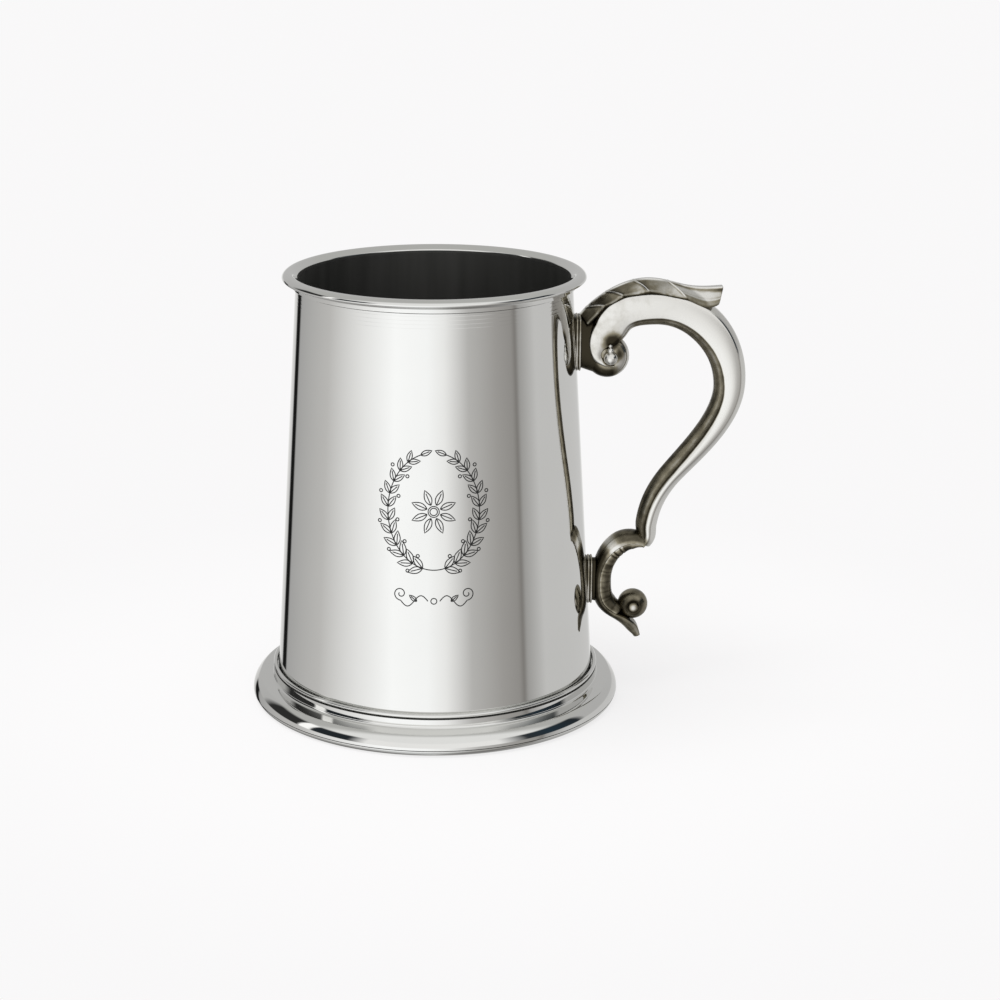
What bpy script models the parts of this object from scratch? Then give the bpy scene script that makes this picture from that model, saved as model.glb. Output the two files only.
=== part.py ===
"""One-pint pewter tankard: a turned cup with a soldered rim and foot, and a cast double-scroll handle."""

import math
from typing import NamedTuple

import bmesh
import bpy
import numpy as np
from mathutils import Matrix, Vector
from mathutils.geometry import interpolate_bezier

# All lengths are in metres and all angles in degrees.

# Fits and fineness
FIT = 0.0003                  # soldered gap between neighbouring pieces
TURN_STEPS = 64               # facets round the cup
ARC_STEPS = 4                 # facets in a moulding's quarter round
BEAD_STEPS = 10               # facets round the foot's wire
BOSS_STEPS = 20               # facets round a ball or a button
DRUM_STEPS = 32               # facets round the volute
ROUND_STEPS = 3               # facets in a rounded edge of the volute or a lug
SWEEP_STEPS = 10              # stations between two knots of the handle
SECTION_POINTS = 16           # points round a cast bar
SHARP_ANGLE = 35.0            # a steeper edge is shaded sharp
WELD = 1e-7                   # corners of a turned piece closer than this are one

# Headings in the plane of the handle
FORWARD = 0.0
UP = 90.0
DOWN = 270.0

# Barrel: a tapered tube of sheet pewter
BARREL_LENGTH = 0.1087        # from the foot joint to the rim's collar
BARREL_FOOT_RADIUS = 0.04507  # outside, at the foot joint
BARREL_TOP_RADIUS = 0.03840   # outside, at the rim's collar
BARREL_WALL = 0.0015

# Rim moulding: a trumpet lip on a collar that caps the barrel
RIM_HEIGHT = 0.0043           # collar's lower edge to the brim
RIM_OVERLAP = 0.0020          # barrel hidden inside the collar
COLLAR_WALL = 0.0006
COLLAR_HEIGHT = 0.0009        # plain band below the cove
LIP_OVERHANG = 0.0033         # lip's edge beyond the barrel's top
LIP_RADIUS = BARREL_TOP_RADIUS + LIP_OVERHANG
LIP_EDGE_RADIUS = 0.0009      # round of the lip's outer edge
LIP_FLARE_RADIUS = 0.0018     # round of the lip's inner edge

# Foot skirt: a hollow spun moulding with a shelf for the cup
FOOT_HEIGHT = 0.0100          # table to the foot joint
FOOT_RADIUS = 0.0526          # widest
FOOT_EDGE_RADIUS = 0.0025     # half-round lower edge
FOOT_WALL = 0.0018
SHELF_DEPTH = 0.0033          # shelf below the foot joint
SHELF_WALL = 0.0015
SHELF_WIDTH = 0.0075          # from the socket wall inwards
SOCKET_WALL = 0.0010
BEAD_RADIUS = 0.0006          # half-round wire that closes the joint

# Floor: a spun pan with a turned-down flange that stands on the shelf
FLOOR_WALL = 0.0016
FLOOR_RISE = 0.0036           # pan's top above the shelf

# Upper lug and volute
UPPER_LUG_DROP = 0.0159       # lug's centre below the rim's collar
UPPER_LUG_HEIGHT = 0.0150
UPPER_LUG_DEPTH = 0.0025
UPPER_LUG_WIDTH = 0.0080
LUG_ROUND = 0.0008
VOLUTE_DROP = 0.0036          # volute's centre below the lug's centre
VOLUTE_RADIUS = 0.0058
VOLUTE_WIDTH = 0.0084
VOLUTE_ROUND = 0.0012
EYE_RADIUS = 0.0023
EYE_HEIGHT = 0.0033           # seat to the top of the dome
EYE_SEAT_DEPTH = 0.0010       # round recess in the volute's face

# Handle limb: a cast bar that springs from the volute and lands on the lower scroll
# A pull is how far a line holds its heading beside a knot. A place is counted in knots along the line.
LIMB_START_RISE = 0.0018      # start above the volute's centre
LIMB_START_PULL = 0.0070
ARCH_FORWARD = 0.0134         # arch's top in front of the volute's centre
ARCH_RISE = 0.0140            # arch's top above the volute's centre
ARCH_PULL_IN = 0.0091
ARCH_PULL_OUT = 0.0116
BELLY_FORWARD = 0.0342        # furthest point in front of the volute's centre
BELLY_DROP = 0.0082           # furthest point below the volute's centre
BELLY_PULL_IN = 0.0123
BELLY_PULL_OUT = 0.0100
WAIST_FORWARD = 0.0076        # waist in front of the heel
WAIST_RISE = 0.0183           # waist above the heel
WAIST_HEADING = 229.5
WAIST_PULL_IN = 0.0090
WAIST_PULL_OUT = 0.0065
HEEL_INSET = 0.0033           # heel behind the tongue's end
HEEL_RISE = 0.0014            # heel above the tongue's end
HEEL_HEADING = 268.0
HEEL_PULL = 0.0075
LIMB_RISER_PLACE = 0.5
LIMB_SHOULDER_PLACE = 1.5
LIMB_START_THICKNESS = 0.0046
LIMB_RISER_THICKNESS = 0.0084
LIMB_ARCH_THICKNESS = 0.0102
LIMB_SHOULDER_THICKNESS = 0.0107
LIMB_BELLY_THICKNESS = 0.0087
LIMB_WAIST_THICKNESS = 0.0066
LIMB_HEEL_THICKNESS = 0.0059
LIMB_ARCH_WIDTH = 0.0092
LIMB_BELLY_WIDTH = 0.0086
LIMB_HEEL_WIDTH = 0.0070
LIMB_SQUARENESS = 2.8         # 2 is an ellipse, larger is squarer

# Thumb leaf: a cast leaf bedded on the back of the arch
LEAF_ROOT_GAP = 0.0013        # root's middle above the upper lug
LEAF_ROOT_INSET = 0.0037      # root's middle behind the limb's back
LEAF_ROOT_HEADING = 50.0
LEAF_ROOT_PULL = 0.0045
LEAF_RISE = 0.0011            # crest's middle above the limb's back
LEAF_CREST_INSET = 0.0021     # leaf's crest behind the arch's top
LEAF_CREST_HEADING = -5.0
LEAF_CREST_PULL_IN = 0.0060
LEAF_CREST_PULL_OUT = 0.0070
LEAF_TIP_FORWARD = 0.0174     # tip's middle in front of the arch's top
LEAF_TIP_RISE = 0.0028        # tip's middle above the arch's top
LEAF_TIP_HEADING = -9.0
LEAF_TIP_PULL = 0.0070
LEAF_SHOULDER_PLACE = 0.5
LEAF_NECK_PLACE = 1.6
LEAF_ROOT_THICKNESS = 0.0024
LEAF_SHOULDER_THICKNESS = 0.0040
LEAF_CREST_THICKNESS = 0.0030
LEAF_NECK_THICKNESS = 0.0034
LEAF_TIP_THICKNESS = 0.0054
LEAF_ROOT_WIDTH = 0.0070
LEAF_CREST_WIDTH = 0.0082
LEAF_TIP_WIDTH = 0.0056
LEAF_SQUARENESS = 2.4

# Lower lug and lower scroll
LOWER_LUG_RISE = 0.0233       # lug's centre above the foot joint
LOWER_LUG_HEIGHT = 0.0132
LOWER_LUG_DEPTH = 0.0011
LOWER_LUG_WIDTH = 0.0066
TONGUE_FORWARD = 0.0166       # tongue's end in front of the scroll's back
TONGUE_RISE = 0.0122          # tongue's end above the lug's centre
TONGUE_HEADING = 162.0
TONGUE_PULL = 0.0105
SCROLL_BACK_PULL_IN = 0.0085
SCROLL_BACK_PULL_OUT = 0.0065
SEAT_FORWARD = 0.0082         # ball's seat in front of the scroll's back
SEAT_DROP = 0.0119            # ball's seat below the lug's centre
SEAT_HEADING = 334.0
SEAT_PULL_IN = 0.0065
SEAT_PULL_OUT = 0.0025
TAIL_FORWARD = 0.0126         # tail's tip in front of the scroll's back
TAIL_DROP = 0.0176            # tail's tip below the lug's centre
TAIL_HEADING = 290.0
TAIL_PULL = 0.0025
SCROLL_CROWN_PLACE = 0.35
SCROLL_SEAT_PLACE = 2
TAIL_TAPER_PLACE = 2.2        # where the tail starts to narrow
TAIL_SWELL_PLACE = 2.6        # where the tail is thickest
TONGUE_THICKNESS = 0.0024
SCROLL_CROWN_THICKNESS = 0.0036
SCROLL_BACK_THICKNESS = 0.0020
SCROLL_SEAT_THICKNESS = 0.0022
TAIL_THICKNESS = 0.0026
TAIL_TIP_THICKNESS = 0.0010
SCROLL_WIDTH = 0.0076
TAIL_TIP_WIDTH = 0.0024
SCROLL_SQUARENESS = 2.6

# Scroll leaf and ball: a leaf that lines the scroll and the ball that ends it
SCROLL_LEAF_START_PLACE = 0.05
SCROLL_LEAF_CROWN_PLACE = 0.5
SCROLL_LEAF_END_PLACE = 1.72
SCROLL_LEAF_START_THICKNESS = 0.0019
SCROLL_LEAF_CROWN_THICKNESS = 0.0029
SCROLL_LEAF_BACK_THICKNESS = 0.0036
SCROLL_LEAF_WIDTH = 0.0066
SEAT_BED = 0.0004             # leaf or ball sunk into its seat before it is fitted
BALL_RADIUS = 0.0043

# Finish
PEWTER = (0.72, 0.72, 0.70)
CAST_PEWTER = (0.58, 0.57, 0.53)
SPUN_ROUGHNESS = 0.12
CAST_ROUGHNESS = 0.28


class Knot(NamedTuple):
    """A point on a handle line in the plane of the handle, with its heading and the pull on either side."""

    x: float
    z: float
    heading: float
    pull_in: float
    pull_out: float

    def lead(self, pull):
        turn = math.radians(self.heading)
        return Vector((self.x + pull * math.cos(turn), 0, self.z + pull * math.sin(turn)))


class Line(NamedTuple):
    """A smooth line sampled between its knots, with its left-hand normals and its places in knots."""

    points: np.ndarray
    normals: np.ndarray
    places: np.ndarray

    def at(self, place):
        centre = [np.interp(place, self.places, self.points[:, axis]) for axis in (0, 1)]
        normal = [np.interp(place, self.places, self.normals[:, axis]) for axis in (0, 1)]
        return np.array(centre), np.array(normal) / np.linalg.norm(normal)

    def stretch(self, first, last):
        kept = (self.places >= first) & (self.places <= last)
        return Line(self.points[kept], self.normals[kept], self.places[kept])


def smooth_line(knots):
    """The Bezier line through the knots."""
    points = [Vector((knots[0].x, 0, knots[0].z))]
    for start, end in zip(knots, knots[1:]):
        stretch = interpolate_bezier(
            start.lead(0), start.lead(start.pull_out), end.lead(-end.pull_in), end.lead(0), SWEEP_STEPS + 1
        )
        points.extend(stretch[1:])
    flat = np.array([(point.x, point.z) for point in points])
    along = np.gradient(flat, axis=0)
    along /= np.linalg.norm(along, axis=1)[:, None]
    normals = np.stack([-along[:, 1], along[:, 0]], axis=1)
    return Line(flat, normals, np.linspace(0, len(knots) - 1, len(points)))


def sizes_along(line, *steps):
    """A size at every station, from (place, size) steps."""
    places, sizes = zip(*steps)
    return np.interp(line.places, places, sizes)


def bar_section(squareness):
    """A rounded square of unit half width, as (across the line, along Y) pairs."""
    turns = np.arange(SECTION_POINTS) * 2 * math.pi / SECTION_POINTS
    across = np.sign(np.cos(turns)) * np.abs(np.cos(turns)) ** (2 / squareness)
    sideways = np.sign(np.sin(turns)) * np.abs(np.sin(turns)) ** (2 / squareness)
    return np.stack([across, sideways], axis=1)


def quarter_round(centre, radius, first, last):
    """Points of an arc in a turned profile, as (radius, height) pairs."""
    turns = np.radians(np.linspace(first, last, ARC_STEPS + 1))
    return [(centre[0] + radius * math.cos(turn), centre[1] + radius * math.sin(turn)) for turn in turns]


def barrel_radius(height):
    """The barrel's outside radius at a height above the table."""
    share = (height - FOOT_HEIGHT) / BARREL_LENGTH
    return BARREL_FOOT_RADIUS + share * (BARREL_TOP_RADIUS - BARREL_FOOT_RADIUS)


# Places shared by the pieces
collar_z = FOOT_HEIGHT + BARREL_LENGTH
brim_z = collar_z + RIM_HEIGHT
shelf_z = FOOT_HEIGHT - SHELF_DEPTH
barrel_base_z = shelf_z + FIT
barrel_top_z = collar_z + RIM_OVERLAP
floor_z = shelf_z + FLOOR_RISE

upper_lug_z = collar_z - UPPER_LUG_DROP
volute_x = barrel_radius(upper_lug_z) + FIT + UPPER_LUG_DEPTH + FIT + VOLUTE_RADIUS
volute_z = upper_lug_z - VOLUTE_DROP

lower_lug_z = FOOT_HEIGHT + LOWER_LUG_RISE
scroll_x = barrel_radius(lower_lug_z) + FIT + LOWER_LUG_DEPTH + FIT + SCROLL_BACK_THICKNESS / 2

scroll_line = smooth_line([
    Knot(scroll_x + TONGUE_FORWARD, lower_lug_z + TONGUE_RISE, TONGUE_HEADING, 0, TONGUE_PULL),
    Knot(scroll_x, lower_lug_z, DOWN, SCROLL_BACK_PULL_IN, SCROLL_BACK_PULL_OUT),
    Knot(scroll_x + SEAT_FORWARD, lower_lug_z - SEAT_DROP, SEAT_HEADING, SEAT_PULL_IN, SEAT_PULL_OUT),
    Knot(scroll_x + TAIL_FORWARD, lower_lug_z - TAIL_DROP, TAIL_HEADING, TAIL_PULL, 0),
])
scroll_thickness = sizes_along(
    scroll_line,
    (0, TONGUE_THICKNESS),
    (SCROLL_CROWN_PLACE, SCROLL_CROWN_THICKNESS),
    (1, SCROLL_BACK_THICKNESS),
    (SCROLL_SEAT_PLACE, SCROLL_SEAT_THICKNESS),
    (TAIL_SWELL_PLACE, TAIL_THICKNESS),
    (3, TAIL_TIP_THICKNESS),
)
scroll_width = sizes_along(scroll_line, (TAIL_TAPER_PLACE, SCROLL_WIDTH), (3, TAIL_TIP_WIDTH))

heel_x = scroll_x + TONGUE_FORWARD - HEEL_INSET
heel_z = lower_lug_z + TONGUE_RISE + HEEL_RISE
arch_x = volute_x + ARCH_FORWARD
arch_z = volute_z + ARCH_RISE
limb_start_x = volute_x - VOLUTE_RADIUS + LIMB_START_THICKNESS / 2
limb_start_z = volute_z + LIMB_START_RISE
limb_line = smooth_line([
    Knot(limb_start_x, limb_start_z, UP, 0, LIMB_START_PULL),
    Knot(arch_x, arch_z, FORWARD, ARCH_PULL_IN, ARCH_PULL_OUT),
    Knot(volute_x + BELLY_FORWARD, volute_z - BELLY_DROP, DOWN, BELLY_PULL_IN, BELLY_PULL_OUT),
    Knot(heel_x + WAIST_FORWARD, heel_z + WAIST_RISE, WAIST_HEADING, WAIST_PULL_IN, WAIST_PULL_OUT),
    Knot(heel_x, heel_z, HEEL_HEADING, HEEL_PULL, 0),
])
limb_thickness = sizes_along(
    limb_line,
    (0, LIMB_START_THICKNESS),
    (LIMB_RISER_PLACE, LIMB_RISER_THICKNESS),
    (1, LIMB_ARCH_THICKNESS),
    (LIMB_SHOULDER_PLACE, LIMB_SHOULDER_THICKNESS),
    (2, LIMB_BELLY_THICKNESS),
    (3, LIMB_WAIST_THICKNESS),
    (4, LIMB_HEEL_THICKNESS),
)
limb_width = sizes_along(
    limb_line,
    (0, VOLUTE_WIDTH),
    (1, LIMB_ARCH_WIDTH),
    (2, LIMB_BELLY_WIDTH),
    (4, LIMB_HEEL_WIDTH),
)
limb_back = Line(
    limb_line.points + limb_line.normals * limb_thickness[:, None] / 2, limb_line.normals, limb_line.places
)

# The handle reaches further than the foot, so the stand is centred between the two.
stand_x = (FOOT_RADIUS - limb_back.points[:, 0].max()) / 2


def clear_scene():
    for thing in list(bpy.data.objects):
        bpy.data.objects.remove(thing)


def pewter(name, colour, roughness):
    """A metal of its own for one piece."""
    metal = bpy.data.materials.new(name + "_pewter")
    metal.use_nodes = True
    shader = metal.node_tree.nodes["Principled BSDF"]
    shader.inputs["Base Color"].default_value = (*colour, 1)
    shader.inputs["Roughness"].default_value = roughness
    shader.inputs["Metallic"].default_value = 1.0
    return metal


def add_object(name, mesh, stand, place=(0, 0, 0)):
    thing = bpy.data.objects.new(name, mesh)
    thing.location = place
    thing.parent = stand
    bpy.context.scene.collection.objects.link(thing)
    return thing


def finished_mesh(name, bm, metal=None):
    """A smooth-shaded mesh from an edit mesh, with its faces pointing out."""
    bmesh.ops.recalc_face_normals(bm, faces=bm.faces)
    mesh = bpy.data.meshes.new(name)
    bm.to_mesh(mesh)
    bm.free()
    mesh.shade_smooth()
    mesh.set_sharp_from_angle(angle=math.radians(SHARP_ANGLE))
    if metal:
        mesh.materials.append(metal)
    return mesh


def turned_mesh(name, profile, metal=None, closed=True, steps=TURN_STEPS):
    """A turned piece from its (radius, height) profile. An open profile starts and ends on the axis."""
    bm = bmesh.new()
    corners = [bm.verts.new((radius, 0, height)) for radius, height in profile]
    for first, second in zip(corners, corners[1:]):
        bm.edges.new((first, second))
    if closed:
        bm.edges.new((corners[-1], corners[0]))
    bmesh.ops.spin(
        bm,
        geom=bm.verts[:] + bm.edges[:],
        axis=(0, 0, 1),
        angle=2 * math.pi,
        steps=steps,
        use_merge=True,
    )
    bmesh.ops.remove_doubles(bm, verts=bm.verts, dist=WELD)
    return finished_mesh(name, bm, metal)


def swept_mesh(name, line, thickness, width, squareness, metal=None, grown=0.0):
    """A cast bar along a line, or the same bar grown all round as a cutter."""
    bm = bmesh.new()
    section = bar_section(squareness)
    thick = thickness / 2 + grown
    wide = width / 2 + grown
    rings = []
    for centre, normal, half_thick, half_wide in zip(line.points, line.normals, thick, wide):
        places = centre + normal * section[:, :1] * half_thick
        rings.append([bm.verts.new((x, side * half_wide, z)) for (x, z), side in zip(places, section[:, 1])])
    for first, second in zip(rings, rings[1:]):
        for corner in range(SECTION_POINTS):
            after = (corner + 1) % SECTION_POINTS
            bm.faces.new((first[corner], first[after], second[after], second[corner]))
    bm.faces.new(rings[0])
    bm.faces.new(rings[-1])
    return finished_mesh(name, bm, metal)


def add_cutter(name, mesh, stand, place=(0, 0, 0)):
    cutter = add_object(name, mesh, stand, place)
    cutter.hide_render = True
    cutter.display_type = "WIRE"
    return cutter


def combine(piece, operation, *others):
    for other in others:
        step = piece.modifiers.new(other.name, "BOOLEAN")
        step.operation = operation
        step.solver = "EXACT"
        step.object = other


def sphere_mesh(name, radius, metal=None):
    bm = bmesh.new()
    bmesh.ops.create_uvsphere(bm, u_segments=BOSS_STEPS, v_segments=BOSS_STEPS // 2, radius=radius)
    return finished_mesh(name, bm, metal)


def drum_mesh(name, radius, width, rounding=0.0):
    """A short drum across the handle, with rounded ends where asked."""
    bm = bmesh.new()
    across = Matrix.Rotation(math.pi / 2, 4, "X")
    bmesh.ops.create_cone(
        bm, cap_ends=True, segments=DRUM_STEPS, radius1=radius, radius2=radius, depth=width, matrix=across
    )
    if rounding:
        ends = [edge for edge in bm.edges if abs(edge.verts[0].co.y - edge.verts[1].co.y) < width / 2]
        bmesh.ops.bevel(bm, geom=ends, offset=rounding, segments=ROUND_STEPS, profile=0.5, affect="EDGES")
    return finished_mesh(name, bm)


def block_mesh(name, size, rounding, metal):
    """A lug blank: a block with its long edges rounded."""
    bm = bmesh.new()
    bmesh.ops.create_cube(bm, size=1.0, matrix=Matrix.Diagonal((*size, 1)))
    bmesh.ops.bevel(
        bm, geom=bm.edges[:], offset=rounding, segments=ROUND_STEPS, profile=0.5, affect="EDGES"
    )
    return finished_mesh(name, bm, metal)


def add_barrel(stand):
    metal = pewter("barrel", PEWTER, SPUN_ROUGHNESS)
    profile = [
        (barrel_radius(barrel_top_z), barrel_top_z),
        (barrel_radius(barrel_base_z), barrel_base_z),
        (barrel_radius(barrel_base_z) - BARREL_WALL, barrel_base_z),
        (barrel_radius(barrel_top_z) - BARREL_WALL, barrel_top_z),
    ]
    add_object("barrel", turned_mesh("barrel", profile, metal), stand)


def add_rim_moulding(stand):
    """The collar drops over the barrel's top edge, and the lip flares from its bore to a rounded edge."""
    metal = pewter("rim_moulding", PEWTER, SPUN_ROUGHNESS)
    seat_radius = barrel_radius(collar_z) + FIT
    bore = barrel_radius(barrel_top_z) - BARREL_WALL
    collar_radius = seat_radius + COLLAR_WALL
    edge_centre = (LIP_RADIUS - LIP_EDGE_RADIUS, brim_z - LIP_EDGE_RADIUS)
    flare_centre = (bore + LIP_FLARE_RADIUS, brim_z - LIP_FLARE_RADIUS)
    cove_top = edge_centre[1] - LIP_EDGE_RADIUS
    cove_base = collar_z + COLLAR_HEIGHT
    cove = [
        (
            collar_radius + (edge_centre[0] - collar_radius) * (1 - math.cos(turn)),
            cove_base + (cove_top - cove_base) * math.sin(turn),
        )
        for turn in np.radians(np.linspace(90, 0, ARC_STEPS + 1))
    ]
    profile = [
        *quarter_round(flare_centre, LIP_FLARE_RADIUS, 180, 90),
        *quarter_round(edge_centre, LIP_EDGE_RADIUS, 90, 0),
        *quarter_round(edge_centre, LIP_EDGE_RADIUS, 0, -90)[1:],
        *cove[1:],
        (collar_radius, collar_z),
        (seat_radius, collar_z),
        (seat_radius, barrel_top_z + FIT),
        (bore, barrel_top_z + FIT),
    ]
    add_object("rim_moulding", turned_mesh("rim_moulding", profile, metal), stand)


def add_foot_skirt(stand):
    """A cove swells into a half-round edge, and a shelf inside carries the barrel and the floor."""
    metal = pewter("foot_skirt", PEWTER, SPUN_ROUGHNESS)
    socket_radius = barrel_radius(barrel_base_z) + FIT
    wall_radius = socket_radius + SOCKET_WALL
    wall_top = FOOT_HEIGHT - 2 * BEAD_RADIUS - FIT
    edge_centre = (FOOT_RADIUS - FOOT_EDGE_RADIUS, FOOT_EDGE_RADIUS)
    ridge = (edge_centre[0], 2 * FOOT_EDGE_RADIUS)
    cove = [
        (
            ridge[0] - (ridge[0] - wall_radius) * math.sin(turn),
            wall_top - (wall_top - ridge[1]) * math.cos(turn),
        )
        for turn in np.radians(np.linspace(90, 0, ARC_STEPS + 1))
    ]
    shelf_base = shelf_z - SHELF_WALL
    inner_edge = edge_centre[0] - FOOT_WALL
    inner_wall = wall_radius - FOOT_WALL
    profile = [
        (socket_radius, wall_top),
        *cove,
        *quarter_round(edge_centre, FOOT_EDGE_RADIUS, 90, 0)[1:],
        *quarter_round(edge_centre, FOOT_EDGE_RADIUS, 0, -90)[1:],
        (inner_edge, 0),
        (inner_edge, FOOT_EDGE_RADIUS),
        (inner_wall, shelf_base),
        (socket_radius - SHELF_WIDTH, shelf_base),
        (socket_radius - SHELF_WIDTH, shelf_z),
        (socket_radius, shelf_z),
    ]
    add_object("foot_skirt", turned_mesh("foot_skirt", profile, metal), stand)


def add_foot_bead(stand):
    """A wire in the corner between the barrel and the foot."""
    metal = pewter("foot_bead", PEWTER, SPUN_ROUGHNESS)
    bead_z = FOOT_HEIGHT - BEAD_RADIUS
    centre = (barrel_radius(bead_z - BEAD_RADIUS) + FIT + BEAD_RADIUS, bead_z)
    turns = np.arange(BEAD_STEPS) * 2 * math.pi / BEAD_STEPS
    profile = [
        (centre[0] + BEAD_RADIUS * math.cos(turn), centre[1] + BEAD_RADIUS * math.sin(turn))
        for turn in turns
    ]
    add_object("foot_bead", turned_mesh("foot_bead", profile, metal), stand)


def add_floor_disc(stand):
    metal = pewter("floor_disc", CAST_PEWTER, CAST_ROUGHNESS)
    base_z = shelf_z + FIT
    top_radius = barrel_radius(floor_z) - BARREL_WALL - FIT
    base_radius = barrel_radius(base_z) - BARREL_WALL - FIT
    profile = [
        (0, floor_z),
        (top_radius, floor_z),
        (base_radius, base_z),
        (base_radius - FLOOR_WALL, base_z),
        (top_radius - FLOOR_WALL, floor_z - FLOOR_WALL),
        (0, floor_z - FLOOR_WALL),
    ]
    add_object("floor_disc", turned_mesh("floor_disc", profile, metal, closed=False), stand)


def add_cutters(stand):
    """Grown copies of the pieces that others are fitted to, each larger by the soldered gap."""
    barrel_blank = [
        (0, barrel_top_z),
        (barrel_radius(barrel_top_z) + FIT, barrel_top_z),
        (barrel_radius(barrel_base_z) + FIT, barrel_base_z),
        (0, barrel_base_z),
    ]
    barrel = turned_mesh("barrel_room", barrel_blank, closed=False)
    limb = swept_mesh("limb_room", limb_line, limb_thickness, limb_width, LIMB_SQUARENESS, grown=FIT)
    scroll = swept_mesh(
        "scroll_room", scroll_line, scroll_thickness, scroll_width, SCROLL_SQUARENESS, grown=FIT
    )
    volute = drum_mesh("volute_room", VOLUTE_RADIUS + FIT, VOLUTE_WIDTH + 2 * FIT, VOLUTE_ROUND)
    return {
        "barrel": add_cutter("barrel_room", barrel, stand),
        "limb": add_cutter("limb_room", limb, stand),
        "scroll": add_cutter("scroll_room", scroll, stand),
        "volute": add_cutter("volute_room", volute, stand, (volute_x, 0, volute_z)),
    }


def add_upper_lug(stand, rooms):
    """A pad between the barrel and the volute, hollowed to both."""
    metal = pewter("upper_lug", CAST_PEWTER, CAST_ROUGHNESS)
    near = barrel_radius(upper_lug_z + UPPER_LUG_HEIGHT / 2) - UPPER_LUG_DEPTH
    far = volute_x - VOLUTE_RADIUS + LUG_ROUND
    size = (far - near, UPPER_LUG_WIDTH, UPPER_LUG_HEIGHT)
    place = ((near + far) / 2, 0, upper_lug_z)
    lug = add_object("upper_lug", block_mesh("upper_lug", size, LUG_ROUND, metal), stand, place)
    combine(lug, "DIFFERENCE", rooms["barrel"], rooms["limb"], rooms["volute"])


def add_lower_lug(stand, rooms):
    """A pad between the barrel and the lower scroll's back, hollowed to both."""
    metal = pewter("lower_lug", CAST_PEWTER, CAST_ROUGHNESS)
    near = barrel_radius(lower_lug_z + LOWER_LUG_HEIGHT / 2) - LOWER_LUG_WIDTH / 2
    far = scroll_x
    size = (far - near, LOWER_LUG_WIDTH, LOWER_LUG_HEIGHT)
    place = ((near + far) / 2, 0, lower_lug_z)
    lug = add_object("lower_lug", block_mesh("lower_lug", size, LUG_ROUND, metal), stand, place)
    combine(lug, "DIFFERENCE", rooms["barrel"], rooms["scroll"])


def add_handle_limb(stand, rooms):
    """The bar and its volute are one casting, recessed for the eyes and saddled on the lower scroll."""
    metal = pewter("handle_limb", CAST_PEWTER, CAST_ROUGHNESS)
    mesh = swept_mesh("handle_limb", limb_line, limb_thickness, limb_width, LIMB_SQUARENESS, metal)
    limb = add_object("handle_limb", mesh, stand)
    volute = drum_mesh("volute_drum", VOLUTE_RADIUS, VOLUTE_WIDTH, VOLUTE_ROUND)
    combine(limb, "UNION", add_cutter("volute_drum", volute, stand, (volute_x, 0, volute_z)))
    seat = drum_mesh("eye_seat", EYE_RADIUS + FIT, 2 * EYE_SEAT_DEPTH)
    for side, name in ((-1, "near_eye_seat"), (1, "far_eye_seat")):
        place = (volute_x, side * VOLUTE_WIDTH / 2, volute_z)
        combine(limb, "DIFFERENCE", add_cutter(name, seat, stand, place))
    combine(limb, "DIFFERENCE", rooms["scroll"])


def add_volute_eyes(stand):
    """A domed button in the recess on either face of the volute."""
    metal = pewter("volute_eye", CAST_PEWTER, CAST_ROUGHNESS)
    dome_base = EYE_HEIGHT - EYE_RADIUS
    dome = quarter_round((0, dome_base), EYE_RADIUS, 90, 0)
    profile = [(0, EYE_HEIGHT), *dome[1:], (EYE_RADIUS, 0), (0, 0)]
    mesh = turned_mesh("volute_eye", profile, metal, closed=False, steps=BOSS_STEPS)
    seat_y = VOLUTE_WIDTH / 2 - EYE_SEAT_DEPTH + FIT
    for side, name in ((-1, "volute_eye_near"), (1, "volute_eye_far")):
        eye = add_object(name, mesh, stand, (volute_x, side * seat_y, volute_z))
        eye.rotation_euler.x = -side * math.pi / 2


def add_thumb_leaf(stand, rooms):
    """The leaf rises from the lug, follows the limb's back over the arch and ends in a lifted tip."""
    metal = pewter("thumb_leaf", CAST_PEWTER, CAST_ROUGHNESS)
    riser = limb_back.stretch(0, 1).points
    root_z = upper_lug_z + UPPER_LUG_HEIGHT / 2 + LEAF_ROOT_GAP
    root_x = np.interp(root_z, riser[:, 1], riser[:, 0]) - LEAF_ROOT_INSET
    crest_x = arch_x - LEAF_CREST_INSET
    crest_z = arch_z + LIMB_ARCH_THICKNESS / 2 + LEAF_RISE
    line = smooth_line([
        Knot(root_x, root_z, LEAF_ROOT_HEADING, 0, LEAF_ROOT_PULL),
        Knot(crest_x, crest_z, LEAF_CREST_HEADING, LEAF_CREST_PULL_IN, LEAF_CREST_PULL_OUT),
        Knot(arch_x + LEAF_TIP_FORWARD, arch_z + LEAF_TIP_RISE, LEAF_TIP_HEADING, LEAF_TIP_PULL, 0),
    ])
    thickness = sizes_along(
        line,
        (0, LEAF_ROOT_THICKNESS),
        (LEAF_SHOULDER_PLACE, LEAF_SHOULDER_THICKNESS),
        (1, LEAF_CREST_THICKNESS),
        (LEAF_NECK_PLACE, LEAF_NECK_THICKNESS),
        (2, LEAF_TIP_THICKNESS),
    )
    width = sizes_along(line, (0, LEAF_ROOT_WIDTH), (1, LEAF_CREST_WIDTH), (2, LEAF_TIP_WIDTH))
    mesh = swept_mesh("thumb_leaf", line, thickness, width, LEAF_SQUARENESS, metal)
    leaf = add_object("thumb_leaf", mesh, stand)
    combine(leaf, "DIFFERENCE", rooms["limb"])


def add_lower_scroll(stand):
    metal = pewter("lower_scroll", CAST_PEWTER, CAST_ROUGHNESS)
    mesh = swept_mesh("lower_scroll", scroll_line, scroll_thickness, scroll_width, SCROLL_SQUARENESS, metal)
    add_object("lower_scroll", mesh, stand)


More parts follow.
